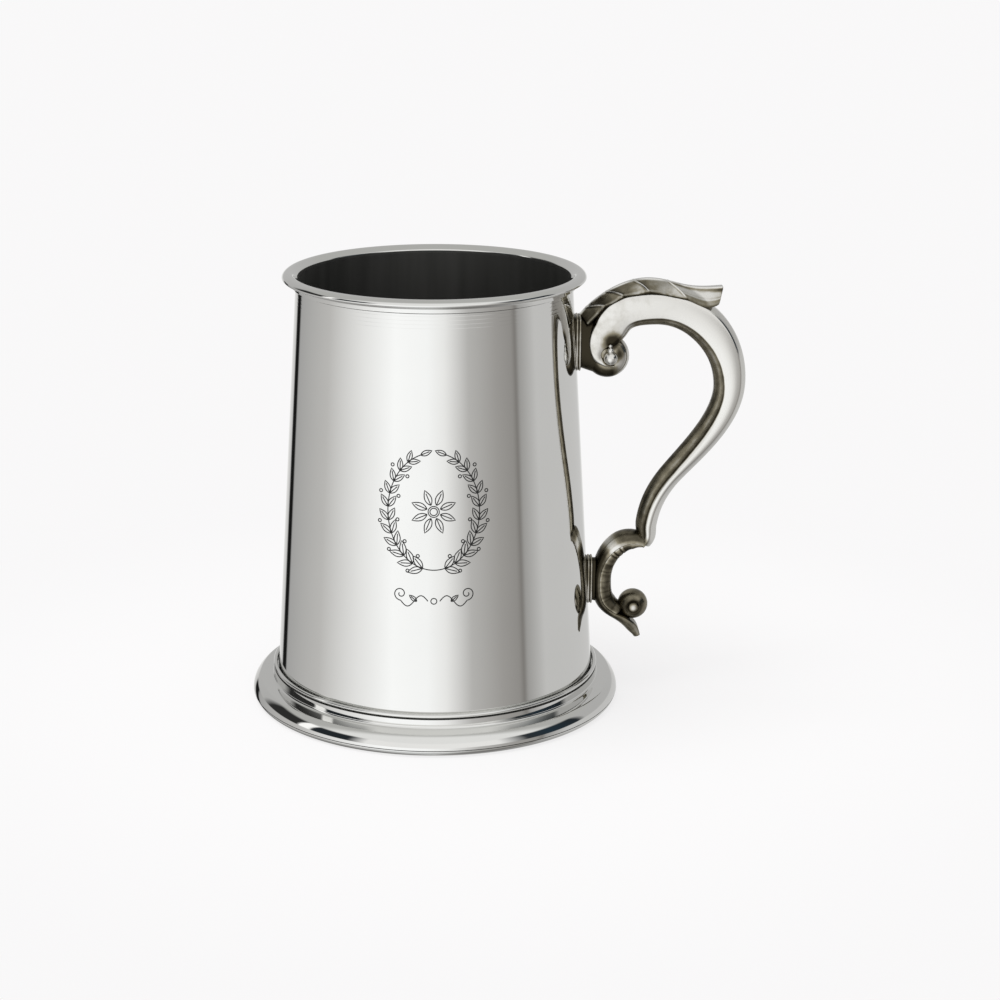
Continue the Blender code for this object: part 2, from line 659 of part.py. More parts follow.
def add_scroll_ball(stand, rooms):
    """The ball is bedded on the scroll just before the tail."""
    metal = pewter("scroll_ball", CAST_PEWTER, CAST_ROUGHNESS)
    seat, inward = scroll_line.at(SCROLL_SEAT_PLACE)
    centre = seat + inward * (SCROLL_SEAT_THICKNESS / 2 + BALL_RADIUS - SEAT_BED)
    place = (centre[0], 0, centre[1])
    ball = add_object("scroll_ball", sphere_mesh("scroll_ball", BALL_RADIUS, metal), stand, place)
    combine(ball, "DIFFERENCE", rooms["scroll"])
    return add_cutter("ball_room", sphere_mesh("ball_room", BALL_RADIUS + FIT), stand, place)


def add_scroll_leaf(stand, rooms, ball_room):
    """The leaf lines the inside of the scroll from under the heel to the ball."""
    metal = pewter("scroll_leaf", CAST_PEWTER, CAST_ROUGHNESS)
    base = scroll_line.stretch(SCROLL_LEAF_START_PLACE, SCROLL_LEAF_END_PLACE)
    thickness = sizes_along(
        base,
        (SCROLL_LEAF_START_PLACE, SCROLL_LEAF_START_THICKNESS),
        (SCROLL_LEAF_CROWN_PLACE, SCROLL_LEAF_CROWN_THICKNESS),
        (1, SCROLL_LEAF_BACK_THICKNESS),
        (SCROLL_LEAF_END_PLACE, SCROLL_LEAF_BACK_THICKNESS),
    )
    bed = np.interp(base.places, scroll_line.places, scroll_thickness) / 2 - SEAT_BED
    line = Line(base.points + base.normals * (bed + thickness / 2)[:, None], base.normals, base.places)
    width = np.full(len(base.places), SCROLL_LEAF_WIDTH)
    mesh = swept_mesh("scroll_leaf", line, thickness, width, SCROLL_SQUARENESS, metal)
    leaf = add_object("scroll_leaf", mesh, stand)
    combine(leaf, "DIFFERENCE", rooms["scroll"], ball_room)


def main():
    clear_scene()
    stand = bpy.data.objects.new("tankard_stand", None)
    stand.location.x = stand_x
    bpy.context.scene.collection.objects.link(stand)
    add_barrel(stand)
    add_rim_moulding(stand)
    add_foot_skirt(stand)
    add_foot_bead(stand)
    add_floor_disc(stand)
    rooms = add_cutters(stand)
    add_upper_lug(stand, rooms)
    add_lower_lug(stand, rooms)
    add_handle_limb(stand, rooms)
    add_volute_eyes(stand)
    add_thumb_leaf(stand, rooms)
    add_lower_scroll(stand)
    ball_room = add_scroll_ball(stand, rooms)
    add_scroll_leaf(stand, rooms, ball_room)


main()
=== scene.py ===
"""Looks of a pewter tankard: turned cup, carved handle castings, engraved wreath and a small studio."""

import math
from typing import NamedTuple

import bpy
import numpy as np
from bpy.props import FloatProperty, FloatVectorProperty, IntProperty, PointerProperty
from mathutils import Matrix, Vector
from mathutils.geometry import interpolate_bezier


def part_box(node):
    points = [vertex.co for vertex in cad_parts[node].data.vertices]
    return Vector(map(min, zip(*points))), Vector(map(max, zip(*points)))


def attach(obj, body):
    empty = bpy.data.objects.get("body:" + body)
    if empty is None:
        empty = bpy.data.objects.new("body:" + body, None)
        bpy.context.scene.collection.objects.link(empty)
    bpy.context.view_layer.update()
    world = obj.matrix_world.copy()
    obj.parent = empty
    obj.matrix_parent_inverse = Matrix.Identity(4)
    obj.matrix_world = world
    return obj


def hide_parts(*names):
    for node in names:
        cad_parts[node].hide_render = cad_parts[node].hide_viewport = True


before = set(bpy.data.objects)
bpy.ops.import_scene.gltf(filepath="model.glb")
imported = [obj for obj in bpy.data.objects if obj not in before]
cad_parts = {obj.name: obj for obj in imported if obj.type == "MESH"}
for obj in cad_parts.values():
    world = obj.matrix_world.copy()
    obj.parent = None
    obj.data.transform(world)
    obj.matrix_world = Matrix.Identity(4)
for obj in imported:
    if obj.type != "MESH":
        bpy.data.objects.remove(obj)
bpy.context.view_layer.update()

bl_info = {
    "name": "Pewter Tankard",
    "version": (1, 0, 0),
    "blender": (4, 5, 0),
    "location": "View3D > Sidebar > Tankard",
    "description": "Dresses the packed tankard with turned, cast and engraved pewter",
    "category": "Object",
}

MM = 0.001
WELD = 1e-6                  # points closer than this are one, in metres
SEAM = 0.02 * MM             # gap between the rim and the barrel's top edge
GRAIN = 0.02 * MM            # depth of the fine marks in a finish
SHARP = math.radians(40)     # steeper edges are shaded sharp
DOME_STEPS = 6               # rings in the domed end of a bar

# Headings in the plane of the handle, in degrees
FORWARD, UP, BACK, DOWN = 0.0, 90.0, 180.0, 270.0

# Places read from the frame
barrel_low, barrel_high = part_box("barrel")
rim_low, rim_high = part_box("rim_moulding")
foot_low, foot_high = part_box("foot_skirt")
bead_low, bead_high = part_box("foot_bead")
floor_low, floor_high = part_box("floor_disc")
eye_low, eye_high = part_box("volute_eye_near")
upper_lug_low, upper_lug_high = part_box("upper_lug")
lower_lug_low, lower_lug_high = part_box("lower_lug")
scroll_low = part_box("lower_scroll")[0]
ball_low, ball_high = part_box("scroll_ball")
axis_x = (barrel_low.x + barrel_high.x) / 2
volute = Vector(((eye_low.x + eye_high.x) / 2, 0, (eye_low.z + eye_high.z) / 2))
scroll_back = Vector((scroll_low.x + 1.0 * MM, 0, (lower_lug_low.z + lower_lug_high.z) / 2))


def ring_radii(node, height):
    """The least and greatest distance from the cup's axis of a node's points at a height."""
    points = [vertex.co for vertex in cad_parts[node].data.vertices]
    level = [point for point in points if abs(point.z - height) < 0.05 * MM]
    radii = [math.hypot(point.x - axis_x, point.y) for point in level]
    return min(radii), max(radii)


barrel_top_radius = ring_radii("barrel", barrel_high.z)[1]
barrel_base_bore, barrel_base_radius = ring_radii("barrel", barrel_low.z)


def barrel_radius(height):
    """The barrel's outside radius at a height."""
    share = (height - barrel_low.z) / (barrel_high.z - barrel_low.z)
    return barrel_base_radius + share * (barrel_top_radius - barrel_base_radius)


def length(name, description, millimetres):
    """A length that a user can change, with its default in millimetres."""
    return FloatProperty(
        name=name, description=description, default=millimetres * MM, unit="LENGTH", precision=5
    )


def colour(name, description, default):
    """A colour that a user can change."""
    return FloatVectorProperty(
        name=name, description=description, default=default, subtype="COLOR", size=3
    )


def share_of(name, description, default):
    """A number from 0 to 1 that a user can change."""
    return FloatProperty(
        name=name, description=description, default=default, min=0, max=1, subtype="FACTOR"
    )


def count_of(name, description, default, least):
    """A whole number that a user can change."""
    return IntProperty(name=name, description=description, default=default, min=least)


class CupSizes(bpy.types.PropertyGroup):
    """Sizes of the turned pieces."""

    segments: count_of("Segments", "Facets round the cup", 256, 32)
    brim_wall: length("Brim wall", "Wall of the barrel and rim at the brim", 0.6)
    lip_spread: length("Lip spread", "Lip outside the CAD's rim", 0.35)
    lip_depth: length("Lip depth", "Brim to the middle of the round at the lip's inner edge", 1.5)
    lip_flare: length("Lip flare", "Bore to the lip's crest", 2.1)
    lip_turn: length("Lip turn", "Round at the lip's inner edge", 0.5)
    lip_bend: length("Lip bend", "Softness of the lip's crest", 0.45)
    lip_fall: length("Lip fall", "Crest of the lip to its outer edge", 1.4)
    lip_edge: length("Lip edge", "Round under the lip's outer edge", 0.5)
    collar_lift: length("Collar lift", "Collar above the CAD's seam", 0.5)
    collar_height: length("Collar", "Plain band under the lip's cove", 0.9)
    collar_wall: length("Collar wall", "Wall of the collar", 0.6)
    # A dark seam with painted shadow under the collar's moulding
    collar_seam_shadow: length("Collar seam", "Width of the dark seam under the collar", 0.36)
    line_count: count_of("Turned lines", "Fine lines turned below the rim", 4, 0)
    line_pitch: length("Line pitch", "Distance between turned lines", 1.05)
    line_half: length("Line half", "Half the width of a turned line", 0.12)
    line_depth: length("Line depth", "Depth of a turned line", 0.02)
    fillet: length("Fillet", "Hollow under the wire", 0.8)
    fillet_drop: length("Fillet drop", "Middle of that hollow below the foot's top", 1.8)
    band_round: length("Band", "Round of the foot's broad band", 4.8)
    band_height: length("Band height", "Widest place of that band", 1.66)
    base_round: length("Base", "Round of the strip under the band", 1.85)
    base_step: length("Base step", "Strip behind the band", 0.08)
    groove: length("Groove", "Depth of the line between band and strip", 0.15)
    foot_edge: length("Foot edge", "Inside of the foot's edge", 2.5)
    foot_wall: length("Foot wall", "Wall of the hollow foot", 1.8)
    shelf_wall: length("Shelf wall", "Wall of the foot's inner shelf", 1.5)
    shelf_drop: length("Shelf drop", "Shelf below the barrel's base", 0.3)
    floor_wall: length("Floor wall", "Wall of the floor pan", 1.6)


class HandleSizes(bpy.types.PropertyGroup):
    """Sizes of the carving on the handle."""

    stations: count_of("Stations", "Rings between two knots of a line", 40, 8)
    round_steps: count_of("Round steps", "Facets in a rounded corner", 6, 2)
    leaf_ridge: length("Leaf ridge", "Height of the ridges on the thumb leaf", 0.22)
    leaf_dish: length("Leaf dish", "Hollow of the leaf's lozenges", 0.45)
    leaf_scoop: length("Leaf scoop", "Hollow along the leaf's lifted tip", 0.9)
    leaf_lobe: length("Leaf lobe", "Droop of the leaf's lower edge between two ridges", 0.5)
    notch_depth: length("Notch depth", "Depth of the notches in the scroll leaf", 0.22)
    notch_pitch: length("Notch pitch", "Distance between those notches", 1.9)
    reed: length("Reed", "Height of the reeds round the lugs", 0.3)
    reed_pitch: length("Reed pitch", "Distance between those two reeds", 0.82)


class Engraving(bpy.types.PropertyGroup):
    """Sizes of the engraved wreath."""

    height: length("Height", "Middle of the wreath above the table", 66.0)
    half_width: length("Half width", "Half the width of the wreath's stems", 12.4)
    half_height: length("Half height", "Half the height of the wreath's stems", 16.0)
    line: length("Line", "Width of an engraved line", 0.28)
    lift: length("Lift", "Height of the drawn line above the barrel", 0.02)
    leaf_pairs: count_of("Leaf pairs", "Pairs of leaves on a stem", 11, 1)
    leaf_length: length("Leaf length", "Length of a laurel leaf", 4.3)


class Finish(bpy.types.PropertyGroup):
    """Colours and gloss of the metal."""

    polished: colour("Polished pewter", "Mirror-polished metal", (0.815, 0.815, 0.80))
    cast: colour("Cast pewter", "Buffed metal of the handle", (0.77, 0.76, 0.73))
    # The half-dark and darkest tones stand for oxide in the hollows and for painted shade in creases and
    # between parts
    tarnish_and_shade: colour("Tarnish", "Half-darkened metal", (0.30, 0.27, 0.20))
    patina_and_shade: colour("Patina", "Darkened metal in the recesses", (0.040, 0.034, 0.022))
    # The inside's dark tone is painted shade of the deep cup, on dull metal
    inside: colour("Inside", "Darkened metal inside the cup", (0.13, 0.13, 0.125))
    engraving: colour("Engraving", "Blackened engraved lines", (0.010, 0.010, 0.010))
    polish_roughness: share_of("Polish", "Roughness of the polished metal", 0.04)
    cast_roughness: share_of("Buffing", "Roughness of the handle's metal", 0.16)


class Studio(bpy.types.PropertyGroup):
    """Camera, floor and light."""

    lens: FloatProperty(
        name="Lens", description="Focal length on a 36 mm sensor", default=82.8, unit="CAMERA"
    )
    pitch: FloatProperty(
        name="Pitch",
        description="Camera's tilt below level",
        default=math.radians(16.722),
        subtype="ANGLE",
    )
    camera: FloatVectorProperty(
        name="Camera",
        description="Camera's place",
        default=(-0.01278, -0.62594, 0.24486),
        subtype="TRANSLATION",
    )
    shift: FloatProperty(name="Shift", description="Sideways shift of the frame", default=0.05)
    background: colour("Background", "Backdrop and far floor", (0.947, 0.940, 0.944))
    floor: colour("Floor", "Floor round the tankard", (0.93, 0.925, 0.928))
    ceiling: colour("Ceiling", "What the metal sees overhead", (0.88, 0.88, 0.87))
    ceiling_back: colour("Ceiling back", "What the metal sees overhead, behind it", (0.5, 0.5, 0.485))
    floor_radius: length("Floor radius", "Reach of the floor", 3000)
    lamp_power: FloatProperty(
        name="Lamp", description="Power of the overhead lamp", default=34.0, unit="POWER"
    )
    lamp_size: length("Lamp size", "Side of the overhead lamp", 1600)
    lamp_place: FloatVectorProperty(
        name="Lamp place",
        description="Middle of the overhead lamp",
        default=(-0.9, -0.3, 2.4),
        subtype="TRANSLATION",
    )


# Lines of the handle
class Knot(NamedTuple):
    """A point on a handle line, in millimetres, its heading in degrees and the pull on either side."""

    x: float
    z: float
    heading: float
    pull_in: float
    pull_out: float

    def lead(self, pull):
        """The point a pull ahead of the knot, or behind it."""
        turn = math.radians(self.heading)
        return Vector((self.x + pull * math.cos(turn), 0, self.z + pull * math.sin(turn)))


class Line(NamedTuple):
    """A smooth line in the plane of the handle: points, left-hand normals, places in knots, lengths."""

    points: np.ndarray
    normals: np.ndarray
    places: np.ndarray
    lengths: np.ndarray


def line_through(points, places):
    """A line through points close enough together to give its headings."""
    along = np.gradient(points, axis=0)
    along /= np.linalg.norm(along, axis=1)[:, None]
    normals = np.stack([-along[:, 1], along[:, 0]], axis=1)
    steps = np.linalg.norm(np.diff(points, axis=0), axis=1)
    return Line(points, normals, places, np.concatenate([[0], np.cumsum(steps)]))


def smooth_line(datum, knots, stations):
    """The Bezier line through knots laid out from a datum."""
    points = [knots[0].lead(0)]
    for start, end in zip(knots, knots[1:]):
        pulls = (start.lead(0), start.lead(start.pull_out), end.lead(-end.pull_in), end.lead(0))
        points.extend(interpolate_bezier(*pulls, stations + 1)[1:])
    flat = np.array([(datum.x + point.x * MM, datum.z + point.z * MM) for point in points])
    return line_through(flat, np.linspace(0, len(knots) - 1, len(points)))


def sizes_along(line, *steps):
    """A size at every station, between (place, size) steps given in millimetres."""
    places, sizes = zip(*steps)
    return np.interp(line.places, places, sizes) * MM


def settled(values, reach):
    """Values smoothed along the line, so that a bar swells without a kink."""
    kernel = np.hanning(2 * reach + 1)
    kernel /= kernel.sum()
    return np.convolve(np.pad(values, reach, mode="edge"), kernel, mode="valid")


def limb_line(stations):
    """From under the volute's eye, round its left, over the arch and down to the toe."""
    heel = (scroll_back - volute) / MM + Vector((13.3, 0, 13.6))
    return smooth_line(volute, [
        Knot(1.6, -2.5, BACK, 0, 2.6),
        Knot(-3.6, 1.6, UP, 2.4, 3.0),
        Knot(0.7, 8.9, 62.0, 3.5, 5.0),
        Knot(13.4, 14.0, FORWARD, 6.5, 11.6),
        Knot(34.2, -8.2, DOWN, 12.3, 10.0),
        Knot(heel.x + 7.6, heel.z + 18.3, 229.5, 9.0, 6.5),
        Knot(heel.x + 0.6, heel.z + 3.4, 262.0, 5.2, 2.2),
        Knot(heel.x - 0.2, heel.z - 2.0, 228.0, 2.2, 0),
    ], stations)


def scroll_line(stations):
    """From the tongue under the heel, round the back of the C and out to the tail."""
    return smooth_line(scroll_back, [
        Knot(13.7, 11.5, 150.0, 0, 8.2),
        Knot(0, 0, DOWN, 8.2, 5.5),
        Knot(5.2, -10.3, 331.0, 5.0, 3.0),
        Knot(12.0, -16.9, 294.0, 4.2, 0),
    ], stations)


# Modelling
def deselect_all():
    bpy.ops.object.select_all(action="DESELECT")


def edit_all():
    """Edit mode with everything selected."""
    bpy.ops.object.mode_set(mode="EDIT")
    bpy.ops.mesh.select_all(action="SELECT")


def leave_edit():
    """Object mode, with faces turned outwards and shaded smooth up to an angle."""
    bpy.ops.mesh.select_all(action="SELECT")
    bpy.ops.mesh.normals_make_consistent(inside=False)
    bpy.ops.object.mode_set(mode="OBJECT")
    bpy.ops.object.shade_smooth_by_angle(angle=SHARP)


def turned_piece(name, profile, segments, centre, turn_axis=(0, 0, 1)):
    """One vertex extruded along a profile and spun round an axis."""
    deselect_all()
    bpy.ops.mesh.primitive_plane_add(size=MM)
    piece = bpy.context.object
    piece.name = piece.data.name = name
    points = [Vector(point) for point in profile]
    edit_all()
    bpy.ops.mesh.merge(type="CENTER")
    bpy.ops.transform.translate(value=points[0])
    for here, there in zip(points, points[1:]):
        bpy.ops.mesh.extrude_region_move(TRANSFORM_OT_translate={"value": there - here})
    bpy.ops.mesh.select_all(action="SELECT")
    bpy.ops.mesh.spin(steps=segments, angle=2 * math.pi, center=centre, axis=turn_axis)
    bpy.ops.mesh.select_all(action="SELECT")
    bpy.ops.mesh.remove_doubles(threshold=WELD)
    leave_edit()
    return piece


def cup_piece(name, profile, segments):
    """A piece turned round the cup's axis from (radius, height) points."""
    placed = [(axis_x + radius, 0, height) for radius, height in profile]
    return turned_piece(name, placed, segments, (axis_x, 0, 0))


def cross_turned(name, centre, half, segments):
    """A piece turned across the handle from its near half's (reach, along) points and their mirror."""
    outline = half + [(reach, -along) for reach, along in reversed(half)]
    profile = [(centre.x + reach, -along, centre.z) for reach, along in outline]
    return turned_piece(name, profile, segments, centre, (0, 1, 0))


def grid_piece(name, rows):
    """A grid whose points take the places of the rows."""
    count, across, _ = rows.shape
    deselect_all()
    bpy.ops.mesh.primitive_grid_add(x_subdivisions=across - 1, y_subdivisions=count - 1, size=1)
    piece = bpy.context.object
    piece.name = piece.data.name = name
    piece.data.vertices.foreach_set("co", rows.astype(np.float32).ravel())
    piece.data.update()
    return piece


def swept_piece(name, rings, dark=None):
    """A grid wrapped into a bar from rings of points and closed at its ends, with its darkness (oxide
    and painted shade) if given.
    """
    piece = grid_piece(name, np.concatenate([rings, rings[:, :1]], axis=1))
    if dark is not None:
        set_patina_and_shade(piece, np.concatenate([dark, dark[:, :1]], axis=1).ravel())
    edit_all()
    bpy.ops.mesh.remove_doubles(threshold=WELD)
    bpy.ops.mesh.select_all(action="DESELECT")
    bpy.ops.mesh.select_mode(type="EDGE")
    bpy.ops.mesh.select_non_manifold()
    bpy.ops.mesh.edge_face_add()
    bpy.ops.mesh.select_mode(type="VERT")
    leave_edit()
    return piece


def joined(name, pieces):
    """Several objects joined into the first."""
    deselect_all()
    for piece in pieces:
        piece.select_set(True)
    bpy.context.view_layer.objects.active = pieces[0]
    bpy.ops.object.join()
    pieces[0].name = pieces[0].data.name = name
    return pieces[0]


def small_ball(centre, radius):
    """A smooth ball, placed in its mesh."""
    deselect_all()
    bpy.ops.mesh.primitive_ico_sphere_add(subdivisions=4, radius=radius)
    ball = bpy.context.object
    edit_all()
    bpy.ops.transform.translate(value=centre)
    bpy.ops.object.mode_set(mode="OBJECT")
    bpy.ops.object.shade_smooth()
    return ball


def rounded_outline(corners, rounds, steps):
    """A closed outline with each corner cut back by its round and arced in a fixed count of points."""
    corners = np.asarray(corners, float)
    before = np.roll(corners, 1, axis=0) - corners
    after = np.roll(corners, -1, axis=0) - corners
    share = np.linspace(0, 1, steps)[:, None]
    outline = []
    for corner, back, ahead, cut in zip(corners, before, after, rounds):
        back_length = np.linalg.norm(back)
        ahead_length = np.linalg.norm(ahead)
        first = corner + back / back_length * min(cut, 0.49 * back_length)
        last = corner + ahead / ahead_length * min(cut, 0.49 * ahead_length)
        outline.append((1 - share) ** 2 * first + 2 * share * (1 - share) * corner + share ** 2 * last)
    return np.concatenate(outline)


def mirrored(half):
    """A near half outline followed by its mirror image at the back."""
    near = [(across, -side) for across, side in half]
    return near + list(reversed(half))


def bar_rings(line, outlines):
    """Rings of a bar: each outline's (across, sideways) points carried onto the line."""
    rings = []
    for centre, normal, outline in zip(line.points, line.normals, outlines):
        across = centre + normal * outline[:, :1]
        rings.append(np.stack([across[:, 0], outline[:, 1], across[:, 1]], axis=1))
    return np.array(rings)


def cap_rings(ring, inner, reach):
    """Rings that close the end of a bar in a dome."""
    middle = ring.mean(axis=0)
    outward = middle - inner.mean(axis=0)
    outward /= np.linalg.norm(outward)
    caps = []
    for turn in np.linspace(0, math.pi / 2, DOME_STEPS + 1)[1:]:
        caps.append(middle + (ring - middle) * math.cos(turn) + outward * reach * math.sin(turn))
    return caps


def domed(rings, first, last):
    """Rings with a dome at either end, as long as first and last say."""
    rings = list(rings)
    head = cap_rings(rings[0], rings[1], first)[::-1]
    return np.array(head + rings + cap_rings(rings[-1], rings[-2], last))


def point_places(piece):
    """The places of a piece's points, one row each."""
    flat = np.empty(len(piece.data.vertices) * 3, np.float32)
    piece.data.vertices.foreach_get("co", flat)
    return flat.reshape(-1, 3)


def nearest_stations(piece, line):
    """The line's station nearest to each point of a piece, and how far out from it the point is."""
    flat = point_places(piece)[:, [0, 2]].astype(float)
    near = np.array([np.argmin(((line.points - point) ** 2).sum(axis=1)) for point in flat])
    return near, ((flat - line.points[near]) * line.normals[near]).sum(axis=1)


def rise(values, start, end):
    """0 up to start, 1 from end on."""
    return np.clip((values - start) / (end - start), 0, 1)


def set_patina_and_shade(piece, values):
    """How dark each point of a casting is: oxide in the hollows, painted shade, and painted highlights
    where it is left light.
    """
    layer = piece.data.attributes.new("patina_and_shade", "FLOAT", "POINT")
    layer.data.foreach_set("value", np.clip(values, 0, 1).astype(np.float32))


def dress(piece, slot, materials, *nodes):
    """Gives a finished piece its materials and its body and hides the nodes it stands for; the slot is
    not used.
    """
    piece.data.materials.clear()
    for material in materials:
        piece.data.materials.append(material)
    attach(piece, "root")
    if nodes:
        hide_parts(*nodes)


# Materials
def new_material(name):
    """A material and its nodes, or no nodes where it is already made."""
    material = bpy.data.materials.get(name)
    if material:
        return material, None
    material = bpy.data.materials.new(name)
    material.use_nodes = True
    return material, material.node_tree


def add_node(tree, kind, **settings):
    node = tree.nodes.new(kind)
    for key, value in settings.items():
        setattr(node, key, value)
    return node


def add_noise(tree, scale, detail=3.0):
    """Noise in the object's own coordinates, stretched by a scale along each axis."""
    place = add_node(tree, "ShaderNodeTexCoord")
    stretch = add_node(tree, "ShaderNodeMapping")
    stretch.inputs["Scale"].default_value = scale
    noise = add_node(tree, "ShaderNodeTexNoise")
    noise.inputs["Scale"].default_value = 1.0
    noise.inputs["Detail"].default_value = detail
    tree.links.new(place.outputs["Object"], stretch.inputs["Vector"])
    tree.links.new(stretch.outputs["Vector"], noise.inputs["Vector"])
    return noise.outputs["Fac"]


def add_range(tree, value, low, high, start=0.0, end=1.0, easing="LINEAR"):
    """A value carried from one range to another."""
    spread = add_node(tree, "ShaderNodeMapRange", interpolation_type=easing)
    spread.inputs["From Min"].default_value = start
    spread.inputs["From Max"].default_value = end
    spread.inputs["To Min"].default_value = low
    spread.inputs["To Max"].default_value = high
    tree.links.new(value, spread.inputs["Value"])
    return spread.outputs["Result"]


def add_blend(tree, factor, first, second):
    """A colour between two, by a factor."""
    blend = add_node(tree, "ShaderNodeMix", data_type="RGBA")
    blend.inputs["A"].default_value = (*first, 1)
    blend.inputs["B"].default_value = (*second, 1)
    tree.links.new(factor, blend.inputs["Factor"])
    return blend.outputs["Result"]


def add_ramp(tree, value, stops):
    """A colour picked by a value between (place, colour) stops."""
    node = add_node(tree, "ShaderNodeValToRGB")
    elements = node.color_ramp.elements
    elements.remove(elements[1])
    for number, (place, tint) in enumerate(stops):
        element = elements.new(place) if number else elements[0]
        element.position = place
        element.color = (*tint, 1)
    tree.links.new(value, node.inputs["Fac"])
    return node.outputs["Color"]


def add_bump(tree, shader, height, strength):
    bump = add_node(tree, "ShaderNodeBump")
    bump.inputs["Strength"].default_value = strength
    bump.inputs["Distance"].default_value = GRAIN
    tree.links.new(height, bump.inputs["Height"])
    tree.links.new(bump.outputs["Normal"], shader.inputs["Normal"])


def metal(name):
    """A metal and its nodes and shader, or none of these where it is already made."""
    material, tree = new_material(name)
    if not tree:
        return material, None, None
    shader = tree.nodes["Principled BSDF"]
    shader.inputs["Metallic"].default_value = 1.0
    return material, tree, shader


def shade(tint, factor):
    return tuple(part * factor for part in tint)


def polished_pewter(context):
    """Mirror polish with faint lines left by the turning, which change only with height."""
    finish = context.scene.tankard_finish
    material, tree, shader = metal("mirror_polish")
    if not tree:
        return material
    smears = add_noise(tree, (45, 45, 45), 4.0)
    marks = add_noise(tree, (12, 12, 2600))
    roughness = finish.polish_roughness
    gloss = add_range(tree, smears, roughness * 0.7, roughness * 1.4, 0.3, 0.75)
    tone = add_blend(tree, smears, finish.polished, shade(finish.polished, 0.95))
    tree.links.new(gloss, shader.inputs["Roughness"])
    tree.links.new(tone, shader.inputs["Base Color"])
    add_bump(tree, shader, marks, 0.03)
    return material


def inside_pewter(context):
    """Dull metal inside the cup, its dark tone painted shade of the deep cup, with streaks down the
    wall.
    """
    finish = context.scene.tankard_finish
    material, tree, shader = metal("dull_inside")
    if not tree:
        return material
    streaks = add_noise(tree, (260, 260, 8), 4.0)
    tone = add_blend(tree, streaks, shade(finish.inside, 0.7), shade(finish.inside, 1.3))
    tree.links.new(tone, shader.inputs["Base Color"])
    tree.links.new(add_range(tree, streaks, 0.55, 0.75), shader.inputs["Roughness"])
    return material


def cast_pewter(context):
    """Buffed casting darkened by its darkness attribute, broken up by fine grain: oxide in the hollows,
    painted shade in creases and between parts, and painted highlights where it is left light.
    """
    finish = context.scene.tankard_finish
    material, tree, shader = metal("buffed_casting")
    if not tree:
        return material
    dark = add_node(tree, "ShaderNodeAttribute", attribute_name="patina_and_shade")
    mottle = add_noise(tree, (420, 420, 420), 5.0)
    grain = add_noise(tree, (2600, 2600, 2600), 2.0)
    total = add_node(tree, "ShaderNodeMath", operation="ADD")
    tree.links.new(dark.outputs["Fac"], total.inputs[0])
    tree.links.new(add_range(tree, mottle, -0.25, 0.25), total.inputs[1])
    amount = add_range(tree, total.outputs["Value"], 0.0, 1.0, 0.05, 0.95, "SMOOTHSTEP")
    tone = add_ramp(tree, amount, [(0, finish.cast), (0.55, finish.tarnish_and_shade), (1, finish.patina_and_shade)])
    gloss = add_range(tree, amount, finish.cast_roughness, finish.cast_roughness + 0.14)
    tree.links.new(tone, shader.inputs["Base Color"])
    tree.links.new(gloss, shader.inputs["Roughness"])
    add_bump(tree, shader, grain, 0.10)
    return material


def blackened_line(context):
    """Dull black wax in the engraved lines."""
    finish = context.scene.tankard_finish
    material, tree = new_material("blackened_line")
    if tree:
        shader = tree.nodes["Principled BSDF"]
        shader.inputs["Roughness"].default_value = 0.6
        shader.inputs["Base Color"].default_value = (*finish.engraving, 1)
    return material


# Pieces of the cup
def oval(centre, across, up, first, last, steps=16):
    """Points of an oval in a turned profile, as (radius, height), between two angles in degrees."""
    turns = np.radians(np.linspace(first, last, steps + 1))
    return [(centre[0] + across * math.cos(turn), centre[1] + up * math.sin(turn)) for turn in turns]


def arc(centre, radius, first, last, steps=16):
    return oval(centre, radius, radius, first, last, steps)


class TANKARD_OT_barrel(bpy.types.Operator):
    """Turn the tapered barrel with its fine lines below the rim"""

    bl_idname = "tankard.barrel"
    bl_label = "Barrel"

    def execute(self, context):
        cup = context.scene.tankard_cup
        collar_z = rim_low.z + cup.collar_lift
        seam_z = collar_z - cup.collar_seam_shadow
        heights = [barrel_high.z, collar_z, seam_z]
        lines = set()
        # Plain rings beside the lines keep the wall's shading straight
        for number in range(cup.line_count):
            height = collar_z - cup.line_pitch * (number + 0.9)
            lines.add(height)
            heights += [height + step * cup.line_half for step in (2, 1, 0, -1, -2)]
        heights += list(np.linspace(heights[-1] - 2 * MM, barrel_low.z, 8))
        outside = [(barrel_radius(z) - (cup.line_depth if z in lines else 0), z) for z in heights]
        bore = barrel_top_radius - cup.brim_wall
        profile = [*outside, (barrel_base_bore, barrel_low.z), (bore, barrel_high.z), outside[0]]
        piece = cup_piece("barrel_turned", profile, cup.segments)
        finish = [polished_pewter(context), inside_pewter(context)]
        dress(piece, "polished_pewter", finish, "barrel")
        # The band under the collar takes the dark dull metal: a seam with painted shadow under the
        # moulding; the inside's dark tone is painted shade
        for face in piece.data.polygons:
            outward = Vector((face.center.x - axis_x, face.center.y, 0))
            in_seam = seam_z < face.center.z < collar_z
            face.material_index = 1 if in_seam or outward.dot(face.normal) < 0 else 0
        return {"FINISHED"}


